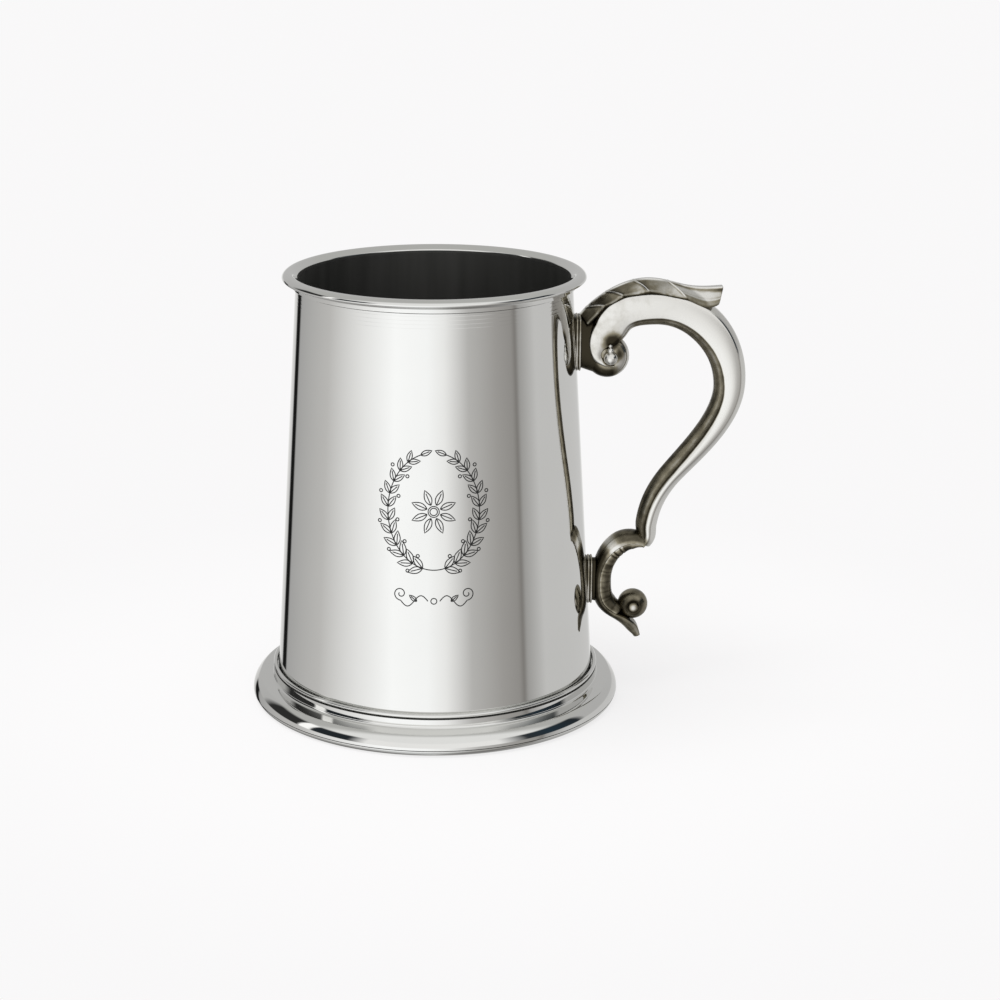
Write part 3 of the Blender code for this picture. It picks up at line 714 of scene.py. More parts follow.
class TANKARD_OT_rim(bpy.types.Operator):
    """Turn the trumpet lip and its collar"""

    bl_idname = "tankard.rim"
    bl_label = "Rim moulding"

    def execute(self, context):
        cup = context.scene.tankard_cup
        brim_z = rim_high.z
        bore = barrel_top_radius - cup.brim_wall
        under_z = barrel_high.z + SEAM
        crest = bore + cup.lip_flare
        lip_radius = (rim_high.x - rim_low.x) / 2 + cup.lip_spread
        seat_bore = ring_radii("rim_moulding", rim_low.z)[0]
        collar_radius = seat_bore + cup.collar_wall
        edge = (lip_radius - cup.lip_edge, brim_z - cup.lip_fall)
        collar_z = rim_low.z + cup.collar_lift
        turn = arc((bore + cup.lip_turn, brim_z - cup.lip_depth), cup.lip_turn, 180, 126, 8)
        inward = np.linspace(crest - turn[-1][0], 0, 16)
        fall = np.hypot(inward, cup.lip_bend) - cup.lip_bend
        fall *= (brim_z - turn[-1][1]) / fall[0]
        flare = [(bore, under_z), *turn, *zip(crest - inward[1:], brim_z - fall[1:])]
        lip = oval((crest, edge[1]), lip_radius - crest, cup.lip_fall, 90, 0, 28)
        cove_base = collar_z + cup.collar_height
        cove_top = edge[1] - cup.lip_edge
        cove = oval((edge[0], cove_base), edge[0] - collar_radius, cove_top - cove_base, 90, 180, 17)
        profile = [
            *flare,
            *lip[1:],
            *arc(edge, cup.lip_edge, 0, -90)[1:],
            *cove[1:],
            (collar_radius, collar_z),
            (seat_bore, collar_z),
            (seat_bore, under_z),
            flare[0],
        ]
        piece = cup_piece("rim_turned", profile, cup.segments)
        finish = [polished_pewter(context), inside_pewter(context)]
        dress(piece, "polished_pewter", finish, "rim_moulding")
        # Inside the bore the metal is dull, its dark tone painted shade of the deep cup
        for face in piece.data.polygons:
            in_bore = math.hypot(face.center.x - axis_x, face.center.y) < bore
            face.material_index = 1 if in_bore else 0
        return {"FINISHED"}


class TANKARD_OT_foot(bpy.types.Operator):
    """Turn the hollow foot and the wire in its upper corner"""

    bl_idname = "tankard.foot"
    bl_label = "Foot and bead"

    def execute(self, context):
        cup = context.scene.tankard_cup
        foot_radius = (foot_high.x - foot_low.x) / 2
        socket, wall_radius = ring_radii("foot_skirt", foot_high.z)
        fillet_z = foot_high.z - cup.fillet_drop
        fillet = arc((wall_radius + cup.fillet, fillet_z), cup.fillet, 180, 262, 18)
        band = arc((foot_radius - cup.band_round, cup.band_height), cup.band_round, 56, 4, 40)
        flange = np.linspace(fillet[-1], band[0], 9)[1:-1]
        base_middle = foot_radius - cup.base_step - cup.base_round
        base = arc((base_middle, cup.base_round), cup.base_round, -3, -90, 20)
        shelf_z = barrel_low.z - cup.shelf_drop
        shelf_base = shelf_z - cup.shelf_wall
        shelf_bore = ring_radii("foot_skirt", shelf_z)[0]
        inner_edge = foot_radius - cup.foot_edge - cup.foot_wall
        profile = [
            (socket, foot_high.z),
            (wall_radius, foot_high.z),
            *fillet,
            *flange,
            *band,
            (band[-1][0] - cup.groove, band[-1][1]),
            (base[0][0] - cup.groove, base[0][1]),
            *base,
            (inner_edge, 0),
            (inner_edge, cup.foot_edge),
            (wall_radius - cup.foot_wall, shelf_base),
            (shelf_bore, shelf_base),
            (shelf_bore, shelf_z),
            (socket, shelf_z),
            (socket, foot_high.z),
        ]
        finish = [polished_pewter(context), inside_pewter(context)]
        foot = cup_piece("foot_turned", profile, cup.segments)
        dress(foot, "polished_pewter", finish, "foot_skirt")
        # The groove takes the dark dull metal: a painted dark line for the reflected shadow round the
        # foot's edge
        for face in foot.data.polygons:
            in_groove = base[0][1] - WELD < face.center.z < band[-1][1] + WELD
            on_top = abs(face.center.z - foot_high.z) < WELD
            face.material_index = 1 if in_groove or on_top else 0
        bead_radius = (bead_high.z - bead_low.z) / 2
        bead_centre = ((bead_high.x - bead_low.x) / 2 - bead_radius, (bead_high.z + bead_low.z) / 2)
        bead = cup_piece("bead_turned", arc(bead_centre, bead_radius, 360, 0, 20), cup.segments)
        dress(bead, "polished_pewter", finish, "foot_bead")
        return {"FINISHED"}


class TANKARD_OT_floor_disc(bpy.types.Operator):
    """Turn the floor pan with its flange"""

    bl_idname = "tankard.floor_disc"
    bl_label = "Floor disc"

    def execute(self, context):
        cup = context.scene.tankard_cup
        base_radius = (floor_high.x - floor_low.x) / 2
        top_radius = ring_radii("floor_disc", floor_high.z)[1]
        under_z = floor_high.z - cup.floor_wall
        profile = [
            (0, floor_high.z),
            (top_radius * 0.5, floor_high.z),
            (top_radius, floor_high.z),
            (base_radius, floor_low.z),
            (base_radius - cup.floor_wall, floor_low.z),
            (top_radius - cup.floor_wall, under_z),
            (top_radius * 0.5, under_z),
            (0, under_z),
        ]
        # The pan is dull metal, its dark tone painted shade of the deep cup
        piece = cup_piece("floor_turned", profile, cup.segments)
        dress(piece, "dull_pewter", [inside_pewter(context)], "floor_disc")
        return {"FINISHED"}


class TANKARD_OT_engraving(bpy.types.Operator):
    """Draw a laurel wreath, a rosette and a flourish on the front of the barrel"""

    bl_idname = "tankard.engraving"
    bl_label = "Engraving"

    def execute(self, context):
        sizes = context.scene.tankard_engraving
        strokes = self.sprig(sizes, 1) + self.sprig(sizes, -1)
        strokes += self.rosette() + self.flourish(1) + self.flourish(-1)
        strokes.append(self.ring((0, -24.6), 0.8))
        ribbons = [self.ribbon(sizes, stroke) for stroke in strokes]
        piece = joined("engraved_wreath", ribbons)
        dress(piece, "dull_pewter", [blackened_line(context)])
        return {"FINISHED"}

    def ribbon(self, sizes, stroke):
        """A flat line laid on the barrel, from (across, up) points in millimetres."""
        stroke = np.asarray(stroke) * MM
        along = np.gradient(stroke, axis=0)
        along /= np.linalg.norm(along, axis=1)[:, None]
        beside = np.stack([-along[:, 1], along[:, 0]], axis=1) * sizes.line / 2
        edges = np.stack([stroke - beside, stroke + beside], axis=1)
        height = sizes.height + edges[..., 1]
        radius = barrel_radius(height) + sizes.lift
        turn = edges[..., 0] / radius
        rows = np.stack([axis_x + radius * np.sin(turn), -radius * np.cos(turn), height], axis=2)
        return grid_piece("stroke", rows)

    def ring(self, centre, radius):
        turns = np.linspace(0, 2 * math.pi, 19)
        return np.stack([np.cos(turns), np.sin(turns)], axis=1) * radius + centre

    def leaf(self, base, heading, reach):
        """A pointed leaf: its outline and its rib."""
        turn = math.radians(heading)
        ahead = np.array([math.cos(turn), math.sin(turn)])
        aside = np.array([-ahead[1], ahead[0]])
        share = np.linspace(0, 1, 9)[:, None]
        swell = 0.21 * reach * np.sin(math.pi * share ** 0.85)
        near = base + ahead * reach * share + aside * swell
        far = base + ahead * reach * share - aside * swell
        rib = base + ahead * reach * share * 0.78
        return [np.concatenate([near, far[-2::-1]]), rib]

    def sprig(self, sizes, side):
        """A stem bent round half of an oval, with pairs of leaves and berries."""
        reach = sizes.leaf_length / MM
        size = np.array([sizes.half_width, sizes.half_height]) / MM

        def stem(turn):
            return np.array([side * math.sin(turn), -math.cos(turn)]) * size

        turns = np.radians(np.linspace(-16, 164, 60))
        strokes = [np.array([stem(turn) for turn in turns])]
        for number in range(sizes.leaf_pairs):
            turn = math.radians(14 + 146 * number / sizes.leaf_pairs)
            base = stem(turn)
            ahead = stem(turn + 0.01) - base
            heading = math.degrees(math.atan2(ahead[1], ahead[0]))
            size_here = reach * (1 - 0.25 * number / sizes.leaf_pairs)
            strokes += self.leaf(base, heading + 34, size_here)
            strokes += self.leaf(base, heading - 34, size_here)
            if number % 2:
                aside = np.array([-ahead[1], ahead[0]]) / np.linalg.norm(ahead)
                strokes += [self.ring(base + aside * 2.5, 0.42), self.ring(base - aside * 2.5, 0.42)]
        tip = stem(turns[-1])
        ahead = tip - stem(turns[-2])
        strokes += self.leaf(tip, math.degrees(math.atan2(ahead[1], ahead[0])), 0.75 * reach)
        return strokes

    def rosette(self):
        """Eight petals round a button."""
        strokes = [self.ring((0, 0), 1.0), self.ring((0, 0), 1.5)]
        for number in range(8):
            heading = 45 * number + 22.5
            turn = math.radians(heading)
            base = np.array([math.cos(turn), math.sin(turn)]) * 1.9
            strokes += self.leaf(base, heading, 4.4)
        return strokes

    def flourish(self, side):
        """A wave that ends in a curl, under the wreath."""
        share = np.linspace(0, 1, 40)
        wave = np.stack([1.6 + 7.4 * share, -24.6 + 1.5 * np.sin(2 * math.pi * share)], axis=1)
        turns = np.linspace(-0.5 * math.pi, 2.2 * math.pi, 40)
        radius = np.linspace(1.9, 0.35, 40)
        curl = np.stack([9.0 + radius * np.cos(turns), -22.7 + radius * np.sin(turns)], axis=1)
        whole = np.concatenate([wave[:-1], curl])
        return [whole * (side, 1), *self.leaf(np.array([side * 4.6, -24.7]), 90 - side * 50, 2.6)]


# Pieces of the handle
class TANKARD_OT_lugs(bpy.types.Operator):
    """Shape the two pads that carry the handle, each ringed by two reeds next to the barrel"""

    bl_idname = "tankard.lugs"
    bl_label = "Lugs"

    def execute(self, context):
        self.lug(context, "upper_lug", upper_lug_low, upper_lug_high, 2.4 * MM, 1.7 * MM)
        self.lug(context, "lower_lug", lower_lug_low, lower_lug_high, 1.2 * MM, 0.6 * MM)
        return {"FINISHED"}

    def lug(self, context, node, low, high, overlap, drop):
        """Two reeds and a neck, which runs into the casting by the overlap and falls by the drop."""
        sizes = context.scene.tankard_handle
        middle = (low + high) / 2
        half = (high - low) / 2
        # From inside the barrel's wall to inside the casting
        places = np.linspace(-0.8 * MM, high.x + overlap - low.x, 90)
        rings = []
        swells = []
        for place in places:
            share = np.clip((place - 0.1 * MM) / (2 * sizes.reed_pitch), 0, 1)
            swell = abs(math.sin(2 * math.pi * share)) ** 0.7
            grow = sizes.reed * swell - 0.8 * MM * rise(share, 0.9, 1.2)
            side = half.y + grow
            tall = half.z + grow
            fall = tall + drop * rise(place, 2 * sizes.reed_pitch, places[-1])
            corners = [(tall, -side), (-fall, -side), (-fall, side), (tall, side)]
            cut = 2.6 * MM + 4.4 * MM * rise(share, 0.9, 1.0)
            outline = rounded_outline(corners, [cut] * 4, 10)
            level = np.full(len(outline), low.x + place)
            rings.append(np.stack([level, outline[:, 1], middle.z + outline[:, 0]], axis=1))
            swells.append(swell)
        lug = swept_piece(node + "_cast", domed(rings, 0.1 * MM, 0.1 * MM))
        # Dark in the neck and between the reeds, patina with painted shade between barrel and casting;
        # lighter on the reeds and towards the bottom
        points = point_places(lug)
        swell = np.interp(points[:, 0] - low.x, places, swells)
        foot = rise(middle.z - points[:, 2], -0.2 * half.z, half.z + drop)
        set_patina_and_shade(lug, 1.1 - 0.62 * swell - 0.32 * foot)
        dress(lug, "cast_pewter", [cast_pewter(context)], node)


class TANKARD_OT_limb(bpy.types.Operator):
    """Sweep the main scroll and join it to the drum of its volute"""

    bl_idname = "tankard.limb"
    bl_label = "Handle limb"

    def execute(self, context):
        sizes = context.scene.tankard_handle
        line = limb_line(sizes.stations)
        reach = sizes.stations // 4
        thick = settled(sizes_along(
            line, (0, 0.6), (0.5, 1.8), (1, 3.6), (1.5, 8.2), (2, 10.4),
            (3, 10.2), (3.5, 10.7), (4, 8.7), (5, 6.6), (6, 6.1), (7, 5.2)
        ), reach)
        wide = settled(sizes_along(line, (0, 8.2), (1, 8.6), (3, 9.2), (4, 8.6), (7, 7.0)), reach)
        outer_cut = sizes_along(line, (0, 0.2), (1, 0.7), (2.6, 1.2), (4, 1.5), (5, 1.8), (7, 1.6))
        inner_cut = sizes_along(
            line, (0, 0.2), (1, 0.4), (1.6, 1.2), (3, 2.2), (4, 2.6), (5, 3.0), (7, 2.2)
        )
        outer_round = sizes_along(line, (0, 0.1), (1, 0.2), (3.5, 0.4), (4.3, 0.6), (5, 0.9), (7, 0.8))
        inner_round = sizes_along(line, (0, 0.1), (1, 0.3), (3.4, 0.3), (4, 0.4), (5, 0.6), (7, 0.8))
        crown = sizes_along(line, (0, 0.05), (1, 0.15), (3, 0.3), (4, 0.35), (5, 0.3), (7, 0.3))
        outlines = []
        for number in range(len(line.places)):
            back = thick[number] / 2
            side = wide[number] / 2
            outer = outer_cut[number]
            inner = inner_cut[number]
            face = 2 * back - outer - inner
            half = [
                (back, side - 1.6 * outer),
                (back - outer, side - crown[number]),
                (back - outer - 0.25 * face, side - 0.1 * crown[number]),
                (back - outer - 0.5 * face, side + 0.2 * crown[number]),
                (back - outer - 0.75 * face, side - 0.1 * crown[number]),
                (inner - back, side - crown[number]),
                (0.5 * inner - back, side - 0.5 * inner),
                (-back, side - inner),
            ]
            soft = [outer, outer_round[number], 0.12 * face, 0.12 * face, 0.12 * face]
            soft += [inner_round[number], 0.2 * inner, 0.5 * inner]
            outlines.append(rounded_outline(mirrored(half), soft + soft[::-1], sizes.round_steps))
        limb = swept_piece("limb_cast", domed(bar_rings(line, outlines), 0.3 * MM, 0.9 * MM))
        drum = self.volute_drum()
        join = limb.modifiers.new("volute", "BOOLEAN")
        join.operation = "UNION"
        join.object = drum
        deselect_all()
        limb.select_set(True)
        context.view_layer.objects.active = limb
        bpy.ops.object.modifier_apply(modifier="volute")
        bpy.data.objects.remove(drum)
        bpy.ops.object.shade_smooth_by_angle(angle=SHARP)
        set_patina_and_shade(limb, self.patina_and_shade(limb, line, thick, inner_cut))
        dress(limb, "cast_pewter", [cast_pewter(context)], "handle_limb")
        return {"FINISHED"}

    def volute_drum(self):
        """The rounded drum that the limb's face winds onto."""
        outline = (
            (0, 3.5), (2.2, 3.5), (3.0, 3.47), (3.7, 3.35), (4.6, 3.0),
            (5.3, 2.5), (5.75, 1.8), (6.05, 0.9), (6.1, 0.3),
        )
        half = [(reach * MM, along * MM) for reach, along in outline]
        return cross_turned("volute_drum", volute - Vector((0.1 * MM, 0, 0.2 * MM)), half, 96)

    def patina_and_shade(self, limb, line, thick, inner_cut):
        """Painted shade with some oxide in the hollows: dark round the eye, under the volute, along the
        inner chamfer and at the heel.
        """
        points = point_places(limb)
        near, across = nearest_stations(limb, line)
        place = line.places[near]
        right = (points[:, 0] - volute.x) / MM
        up = (points[:, 2] - volute.z) / MM
        depth = 4.2 - np.abs(points[:, 1]) / MM
        from_eye = np.hypot(right - 0.6, up + 0.1)
        # Painted shade above and beside the eye, a painted contact shadow round it and painted shade
        # under the drum
        above = 1.25 * np.exp(-((right - 1.0) / 2.8) ** 2 - ((up - 4.4) / 2.9) ** 2)
        beside = 0.9 * np.exp(-((right - 3.0) / 1.5) ** 2 - ((up - 1.2) / 2.8) ** 2)
        ring = 0.8 * np.exp(-((from_eye - 2.1) / 0.5) ** 2)
        drum = rise(-np.hypot(right, up), -8.0, -6.6) * rise(depth, 0.45, 0.9)
        under = 0.95 * drum * rise(-up, -5.0, -1.0) * rise(-right, -4.0, -1.0)
        face = 0.22 * rise(-place, -3.4, -2.0)
        # 0 at the limb's inner side, 1 where the chamfer meets the face
        rib = (across + thick[near] / 2) / inner_cut[near]
        # Painted shade along the inner chamfer, darkest in the crease by the face
        arch = np.interp(rib, (0, 0.3, 0.6, 0.85, 0.95, 1.1), (0.72, 0.60, 0.45, 0.55, 0.80, 0))
        leg = np.interp(rib, (0, 0.3, 0.6, 0.85, 0.95, 1.1), (0.80, 0.62, 0.48, 0.75, 1.05, 0))
        inner = (arch + (leg - arch) * rise(place, 3.6, 4.6)) * rise(place, 2.1, 2.6)
        # Painted shade in the crease where the heel meets the tongue
        heel = 0.9 * rise(place, 6.55, 6.9) * rise(-across, -2.0 * MM, 0.3 * MM)
        return np.maximum.reduce([above, beside, ring, under, face, inner, heel])


class TANKARD_OT_eyes(bpy.types.Operator):
    """Round the two eyes of the volute, each with two granules above it"""

    bl_idname = "tankard.eyes"
    bl_label = "Volute eyes"

    def execute(self, context):
        seat = -eye_high.y
        # Right, up, radius and lift of the eye and its granules, in millimetres
        grains = [(0.6, -0.1, 1.95, 0.9), (0.5, 2.1, 0.9, 1.1), (0.4, 3.4, 0.55, 1.2)]
        for side, name, node in ((-1, "eye_near", "volute_eye_near"), (1, "eye_far", "volute_eye_far")):
            balls = []
            for right, up, radius, lift in grains:
                centre = volute + Vector((right * MM, side * (seat + lift * MM), up * MM))
                balls.append(small_ball(centre, radius * MM))
            eye = joined(name, balls)
            # Painted contact shade where each ball meets the limb, fading towards its top
            height = np.abs(point_places(eye)[:, 1]) - seat
            set_patina_and_shade(eye, 0.9 - 0.95 * rise(height, 0, 1.9 * MM))
            dress(eye, "cast_pewter", [cast_pewter(context)], node)
        return {"FINISHED"}


class TANKARD_OT_thumb_leaf(bpy.types.Operator):
    """Stretch the thumb leaf between its ridge and its lower edges and carve it"""

    bl_idname = "tankard.thumb_leaf"
    bl_label = "Thumb leaf"

    def execute(self, context):
        sizes = context.scene.tankard_handle
        stations = 3 * sizes.stations
        ridge = smooth_line(volute, [
            Knot(-8.0, 11.6, 52.0, 0, 5.0),
            Knot(10.8, 21.7, 0.0, 8.0, 5.0),
            Knot(23.5, 19.4, -5.0, 4.5, 3.0),
            Knot(31.3, 19.5, 4.0, 3.0, 0),
        ], stations)
        skirt = smooth_line(volute, [
            Knot(-5.8, 9.4, 55.0, 0, 6.0),
            Knot(10.0, 18.4, 2.0, 7.0, 5.0),
            Knot(23.4, 15.5, -26.0, 4.0, 2.5),
            Knot(29.9, 14.9, 30.0, 2.5, 0),
        ], stations)
        wide = settled(sizes_along(ridge, (0, 4.7), (1, 5.0), (2, 4.9), (3, 4.2)), stations // 4)
        top = settled(sizes_along(ridge, (0, 0.5), (1, 0.7), (2, 0.9), (3, 1.3)), stations // 4)
        steps = 28
        down = np.linspace(0, 1, steps)
        ahead = np.gradient(ridge.points, axis=0)
        rings = []
        darkness = []
        for number, reach in enumerate(ridge.lengths):
            carve, droop, dark = self.carving(sizes, reach, ridge.lengths[-1], down)
            head = np.array([ridge.points[number][0], -top[number], ridge.points[number][1]])
            hem = np.array([skirt.points[number][0], -wide[number], skirt.points[number][1]])
            outward = np.cross(hem - head, (ahead[number][0], 0, ahead[number][1]))
            outward *= -np.sign(outward[1]) / np.linalg.norm(outward)
            bulge = 0.35 * MM * np.sin(math.pi * down)
            side = head + down[:, None] * (hem - head) + (bulge + carve)[:, None] * outward
            side[:, 2] -= droop
            rings.append(np.concatenate([side, side[::-1] * (1, -1, 1)]))
            darkness.append(np.concatenate([dark, dark[::-1]]))
        darkness = np.pad(darkness, ((DOME_STEPS, DOME_STEPS), (0, 0)), mode="edge")
        leaf = swept_piece("leaf_cast", domed(rings, 0.5 * MM, 0.6 * MM), darkness)
        dress(leaf, "cast_pewter", [cast_pewter(context)], "thumb_leaf")
        return {"FINISHED"}

    def carving(self, sizes, reach, total, down):
        """Height, droop of the lower edge and darkness (painted shade with some oxide) down one side of
        the leaf at one station.
        """
        # Where the veins leave the ridge, and how far each slants back on its way down
        starts = np.array([-6.0, 2.5, 9.6, 17.8, 27.6]) * MM
        slant = 5.5 * MM
        place = reach - slant * down
        index = np.clip(np.searchsorted(starts, place, side="right") - 1, 0, len(starts) - 1)
        after = np.append(starts[1:], total)
        share = np.clip((place - starts[index]) / (after[index] - starts[index]), 0, 1)
        gap = np.abs(place[:, None] - starts[None, :]).min(axis=1)
        vein = np.exp(-(gap / (0.30 * MM)) ** 2)
        lobe = np.sin(math.pi * share)
        tip = index == len(starts) - 1
        bowl = np.where(tip, 0, lobe ** 0.7 * np.sin(math.pi * down) ** 0.6)
        scoop = np.where(tip, np.sin(math.pi * down) ** 0.8 * np.clip(share * 2, 0, 1), 0)
        edges = np.sin(math.pi * np.clip(0.04 + 0.96 * down, 0, 1)) ** 0.4
        ruffle = math.sin(2.5 * reach / MM + 2.2 * math.sin(0.9 * reach / MM)) * rise(down, 0.74, 0.88)
        ruffle = ruffle * np.where(tip, 0, 1)
        carve = sizes.leaf_ridge * vein * edges - sizes.leaf_dish * bowl - sizes.leaf_scoop * scoop
        carve += 0.15 * sizes.leaf_ridge * ruffle
        droop = np.where(tip, 0, sizes.leaf_lobe * lobe) * down ** 3
        # Patina and painted shade in the lozenges (darker at their lower ends), painted shade beside the
        # veins and a painted shadow line along the hem; the veins are left light
        seam = np.exp(-((gap - 0.55 * MM) / (0.30 * MM)) ** 2)
        shadow = (0.92 - 0.018 * reach / MM) * (1.15 - 0.45 * share) + 0.25 * seam
        flank = shadow * (1 - 0.95 * vein) * rise(down, 0.04, 0.12) * (1 - rise(down, 0.74, 0.86))
        border = (0.40 - 0.10 * ruffle + 0.7 * rise(down, 0.88, 0.96)) * rise(down, 0.76, 0.86)
        # The lifted tip is painted in bands of shade and highlight across its scoop
        bands = (0, 0.05, 0.10, 0.18, 0.28, 0.45, 0.55, 0.60, 0.68, 0.85, 1)
        bill = np.interp(down, bands, (0.1, 0.2, 0.65, 0.45, 0.1, 0.1, 0.3, 0.05, 0.5, 0.45, 0.7))
        bill += 0.5 * rise(share, 0.68, 0.98) * rise(down, 0.05, 0.2)
        return carve, droop, np.where(tip, bill, flank + border)


class TANKARD_OT_lower_scroll(bpy.types.Operator):
    """Sweep the lower C-scroll with its tongue and tail, round outside and flat inside"""

    bl_idname = "tankard.lower_scroll"
    bl_label = "Lower scroll"

    def execute(self, context):
        sizes = context.scene.tankard_handle
        line = scroll_line(sizes.stations)
        reach = sizes.stations // 5
        thick = settled(sizes_along(
            line, (0, 2.8), (0.35, 3.6), (1, 2.0), (2, 2.0), (2.5, 2.7), (2.8, 2.8), (3, 1.5)
        ), reach)
        wide = settled(sizes_along(line, (0, 7.2), (2.0, 7.6), (2.5, 5.8), (3, 2.6)), reach)
        turns = np.linspace(0, math.pi, 24)
        outlines = []
        for deep, broad in zip(thick, wide):
            # The outer side is at the right hand of the line
            outer = np.stack([deep * (0.35 - np.sin(turns) ** 0.8), -broad / 2 * np.cos(turns)], axis=1)
            inner = np.array([(0.5 * deep, 0.43 * broad), (0.5 * deep, -0.43 * broad)])
            outlines.append(np.concatenate([outer, inner]))
        scroll = swept_piece("scroll_cast", domed(bar_rings(line, outlines), 0.4 * MM, 0.5 * MM))
        near, across = nearest_stations(scroll, line)
        place = line.places[near]
        edge = np.abs(point_places(scroll)[:, 1]) / (wide[near] / 2)
        # Darkest round the back of the C, patina with painted shade and dark reflection; a painted
        # highlight on the tongue and a painted light line along the edges
        rim = rise(edge, 0.94, 1.0) * rise(across, 0.1 * MM, 0.4 * MM)
        shine = np.exp(-((place - 0.50) / 0.10) ** 2)
        dark = np.interp(place, (0, 0.3, 0.7, 1.8, 2.3, 3), (0.80, 0.72, 1.0, 0.98, 0.72, 0.62))
        set_patina_and_shade(scroll, dark - 0.60 * shine - 0.25 * rim)
        dress(scroll, "cast_pewter", [cast_pewter(context)], "lower_scroll")
        return {"FINISHED"}


class TANKARD_OT_scroll_leaf(bpy.types.Operator):
    """Sweep the leaf that lines the lower scroll and notch its edges"""

    bl_idname = "tankard.scroll_leaf"
    bl_label = "Scroll leaf"

    def execute(self, context):
        sizes = context.scene.tankard_handle
        whole = scroll_line(3 * sizes.stations)
        kept = (whole.places >= 0.02) & (whole.places <= 2.02)
        whole_thick = sizes_along(
            whole, (0.02, 0.9), (0.16, 2.1), (0.5, 2.9), (1, 3.6), (1.7, 3.6), (2.02, 3.0)
        )
        bed = sizes_along(whole, (0, 2.6), (0.35, 3.6), (1, 2.0), (2, 2.0)) / 2 - 0.4 * MM
        centre = whole.points + whole.normals * (bed + whole_thick / 2)[:, None]
        line = line_through(centre[kept], whole.places[kept])
        thick = whole_thick[kept]
        outlines = []
        darkness = []
        for place, reach, depth in zip(line.places, line.lengths, thick):
            drift = 0.35 * math.sin(0.9 * reach / MM) + 0.2 * math.sin(2.3 * reach / MM)
            mark = (0.5 + 0.5 * math.cos(2 * math.pi * (reach / sizes.notch_pitch + drift))) ** 2
            notch = mark * (0.08 + 0.92 * rise(-place, -0.9, -0.5)) * rise(place, 0.15, 0.4)
            cut = sizes.notch_depth * notch
            back = depth / 2
            side = 3.3 * MM
            half = [
                (-back, side + 0.15 * MM),
                (-0.1 * back, side + 0.2 * MM - cut),
                (0.75 * back - 0.6 * cut, 0.80 * side - 0.5 * cut),
                (back - 0.5 * cut, 0.3 * side),
            ]
            soft = [0.1 * MM, 0.4 * back, 0.4 * back, 0.25 * side]
            outlines.append(rounded_outline(mirrored(half), soft + soft[::-1], sizes.round_steps))
            darkness.append(0.62 + 0.30 * notch + 0.07 * mark + 0.14 * rise(place, 0.6, 1.4))
        leaf = swept_piece("scroll_leaf_cast", domed(bar_rings(line, outlines), 0.5 * MM, 1.1 * MM))
        near, across = nearest_stations(leaf, line)
        # Patina darker in the notches and further round the C; a painted light line along the leaf's
        # outer border
        border = rise(-across, 0.39 * thick[near], 0.46 * thick[near])
        set_patina_and_shade(leaf, np.array(darkness)[near] - 0.30 * border)
        dress(leaf, "cast_pewter", [cast_pewter(context)], "scroll_leaf")
        return {"FINISHED"}


class TANKARD_OT_ball(bpy.types.Operator):
    """Turn the ball that ends the scroll leaf, with a button on either side"""

    bl_idname = "tankard.ball"
    bl_label = "Scroll ball"

    def execute(self, context):
        radius = (ball_high.y - ball_low.y) / 2
        centre = Vector((ball_high.x - radius, 0, ball_high.z - radius))
        button = 0.36 * radius
        seat = 0.87 * radius
        half = [(reach, seat + 0.45 * along) for reach, along in arc((0, 0), button, 90, 0, 10)]
        half += [(1.08 * button, seat - 0.03 * radius), (1.22 * button, seat - 0.02 * radius)]
        half += arc((0, 0), radius, math.degrees(math.acos(1.35 * button / radius)), 4, 18)
        ball = cross_turned("ball_cast", centre, half, 72)
        points = point_places(ball)
        reach = np.hypot(points[:, 0] - centre.x, points[:, 2] - centre.z)
        # Patina and painted shade in the groove round the button; the button is left lighter as a
        # painted highlight
        groove = np.exp(-((reach - 1.15 * button) / (0.12 * radius)) ** 2)
        boss = rise(-reach, -0.8 * button, -0.2 * button)
        set_patina_and_shade(ball, 0.62 + 0.3 * groove - 0.35 * boss)
        dress(ball, "cast_pewter", [cast_pewter(context)], "scroll_ball")
        return {"FINISHED"}


# Stage
class Tone(NamedTuple):
    """What the metal sees at a heading, in degrees to the camera's right: a grey and some blue."""

    degrees: float
    grey: float
    blue: float = 0.0


# Tones of the table below the horizon, and of the room above it
TABLE_TONES = [
    Tone(-180, 1.0), Tone(-153, 0.62), Tone(-150, 0.01), Tone(-142, 0.01), Tone(-139, 0.42),
    Tone(-93, 0.59, -0.01), Tone(-57, 0.95, 0.01), Tone(-31, 1.17, 0.03), Tone(-5, 1.12, 0.03),
    Tone(8, 0.99, 0.01), Tone(27, 0.55, -0.01), Tone(50, 0.40, -0.02), Tone(64, 0.34, -0.02),
    Tone(68, 0.24, -0.02), Tone(71, 0.40, -0.01), Tone(88, 0.63), Tone(158, 0.63), Tone(180, 1.0),
]
ROOM_TONES = [
    Tone(-180, 0.52), Tone(-132, 0.50), Tone(-122, 0.03), Tone(-92, 0.03), Tone(-90, 1.2),
    Tone(-82, 1.2), Tone(-80, 0.02, 0.01), Tone(-54, 0.02, 0.01), Tone(-42, 0.95), Tone(40, 0.95),
    Tone(58, 0.03, 0.01), Tone(75, 0.02, 0.03), Tone(98, 0.02, 0.01), Tone(104, 0.50),
    Tone(180, 0.52),
]


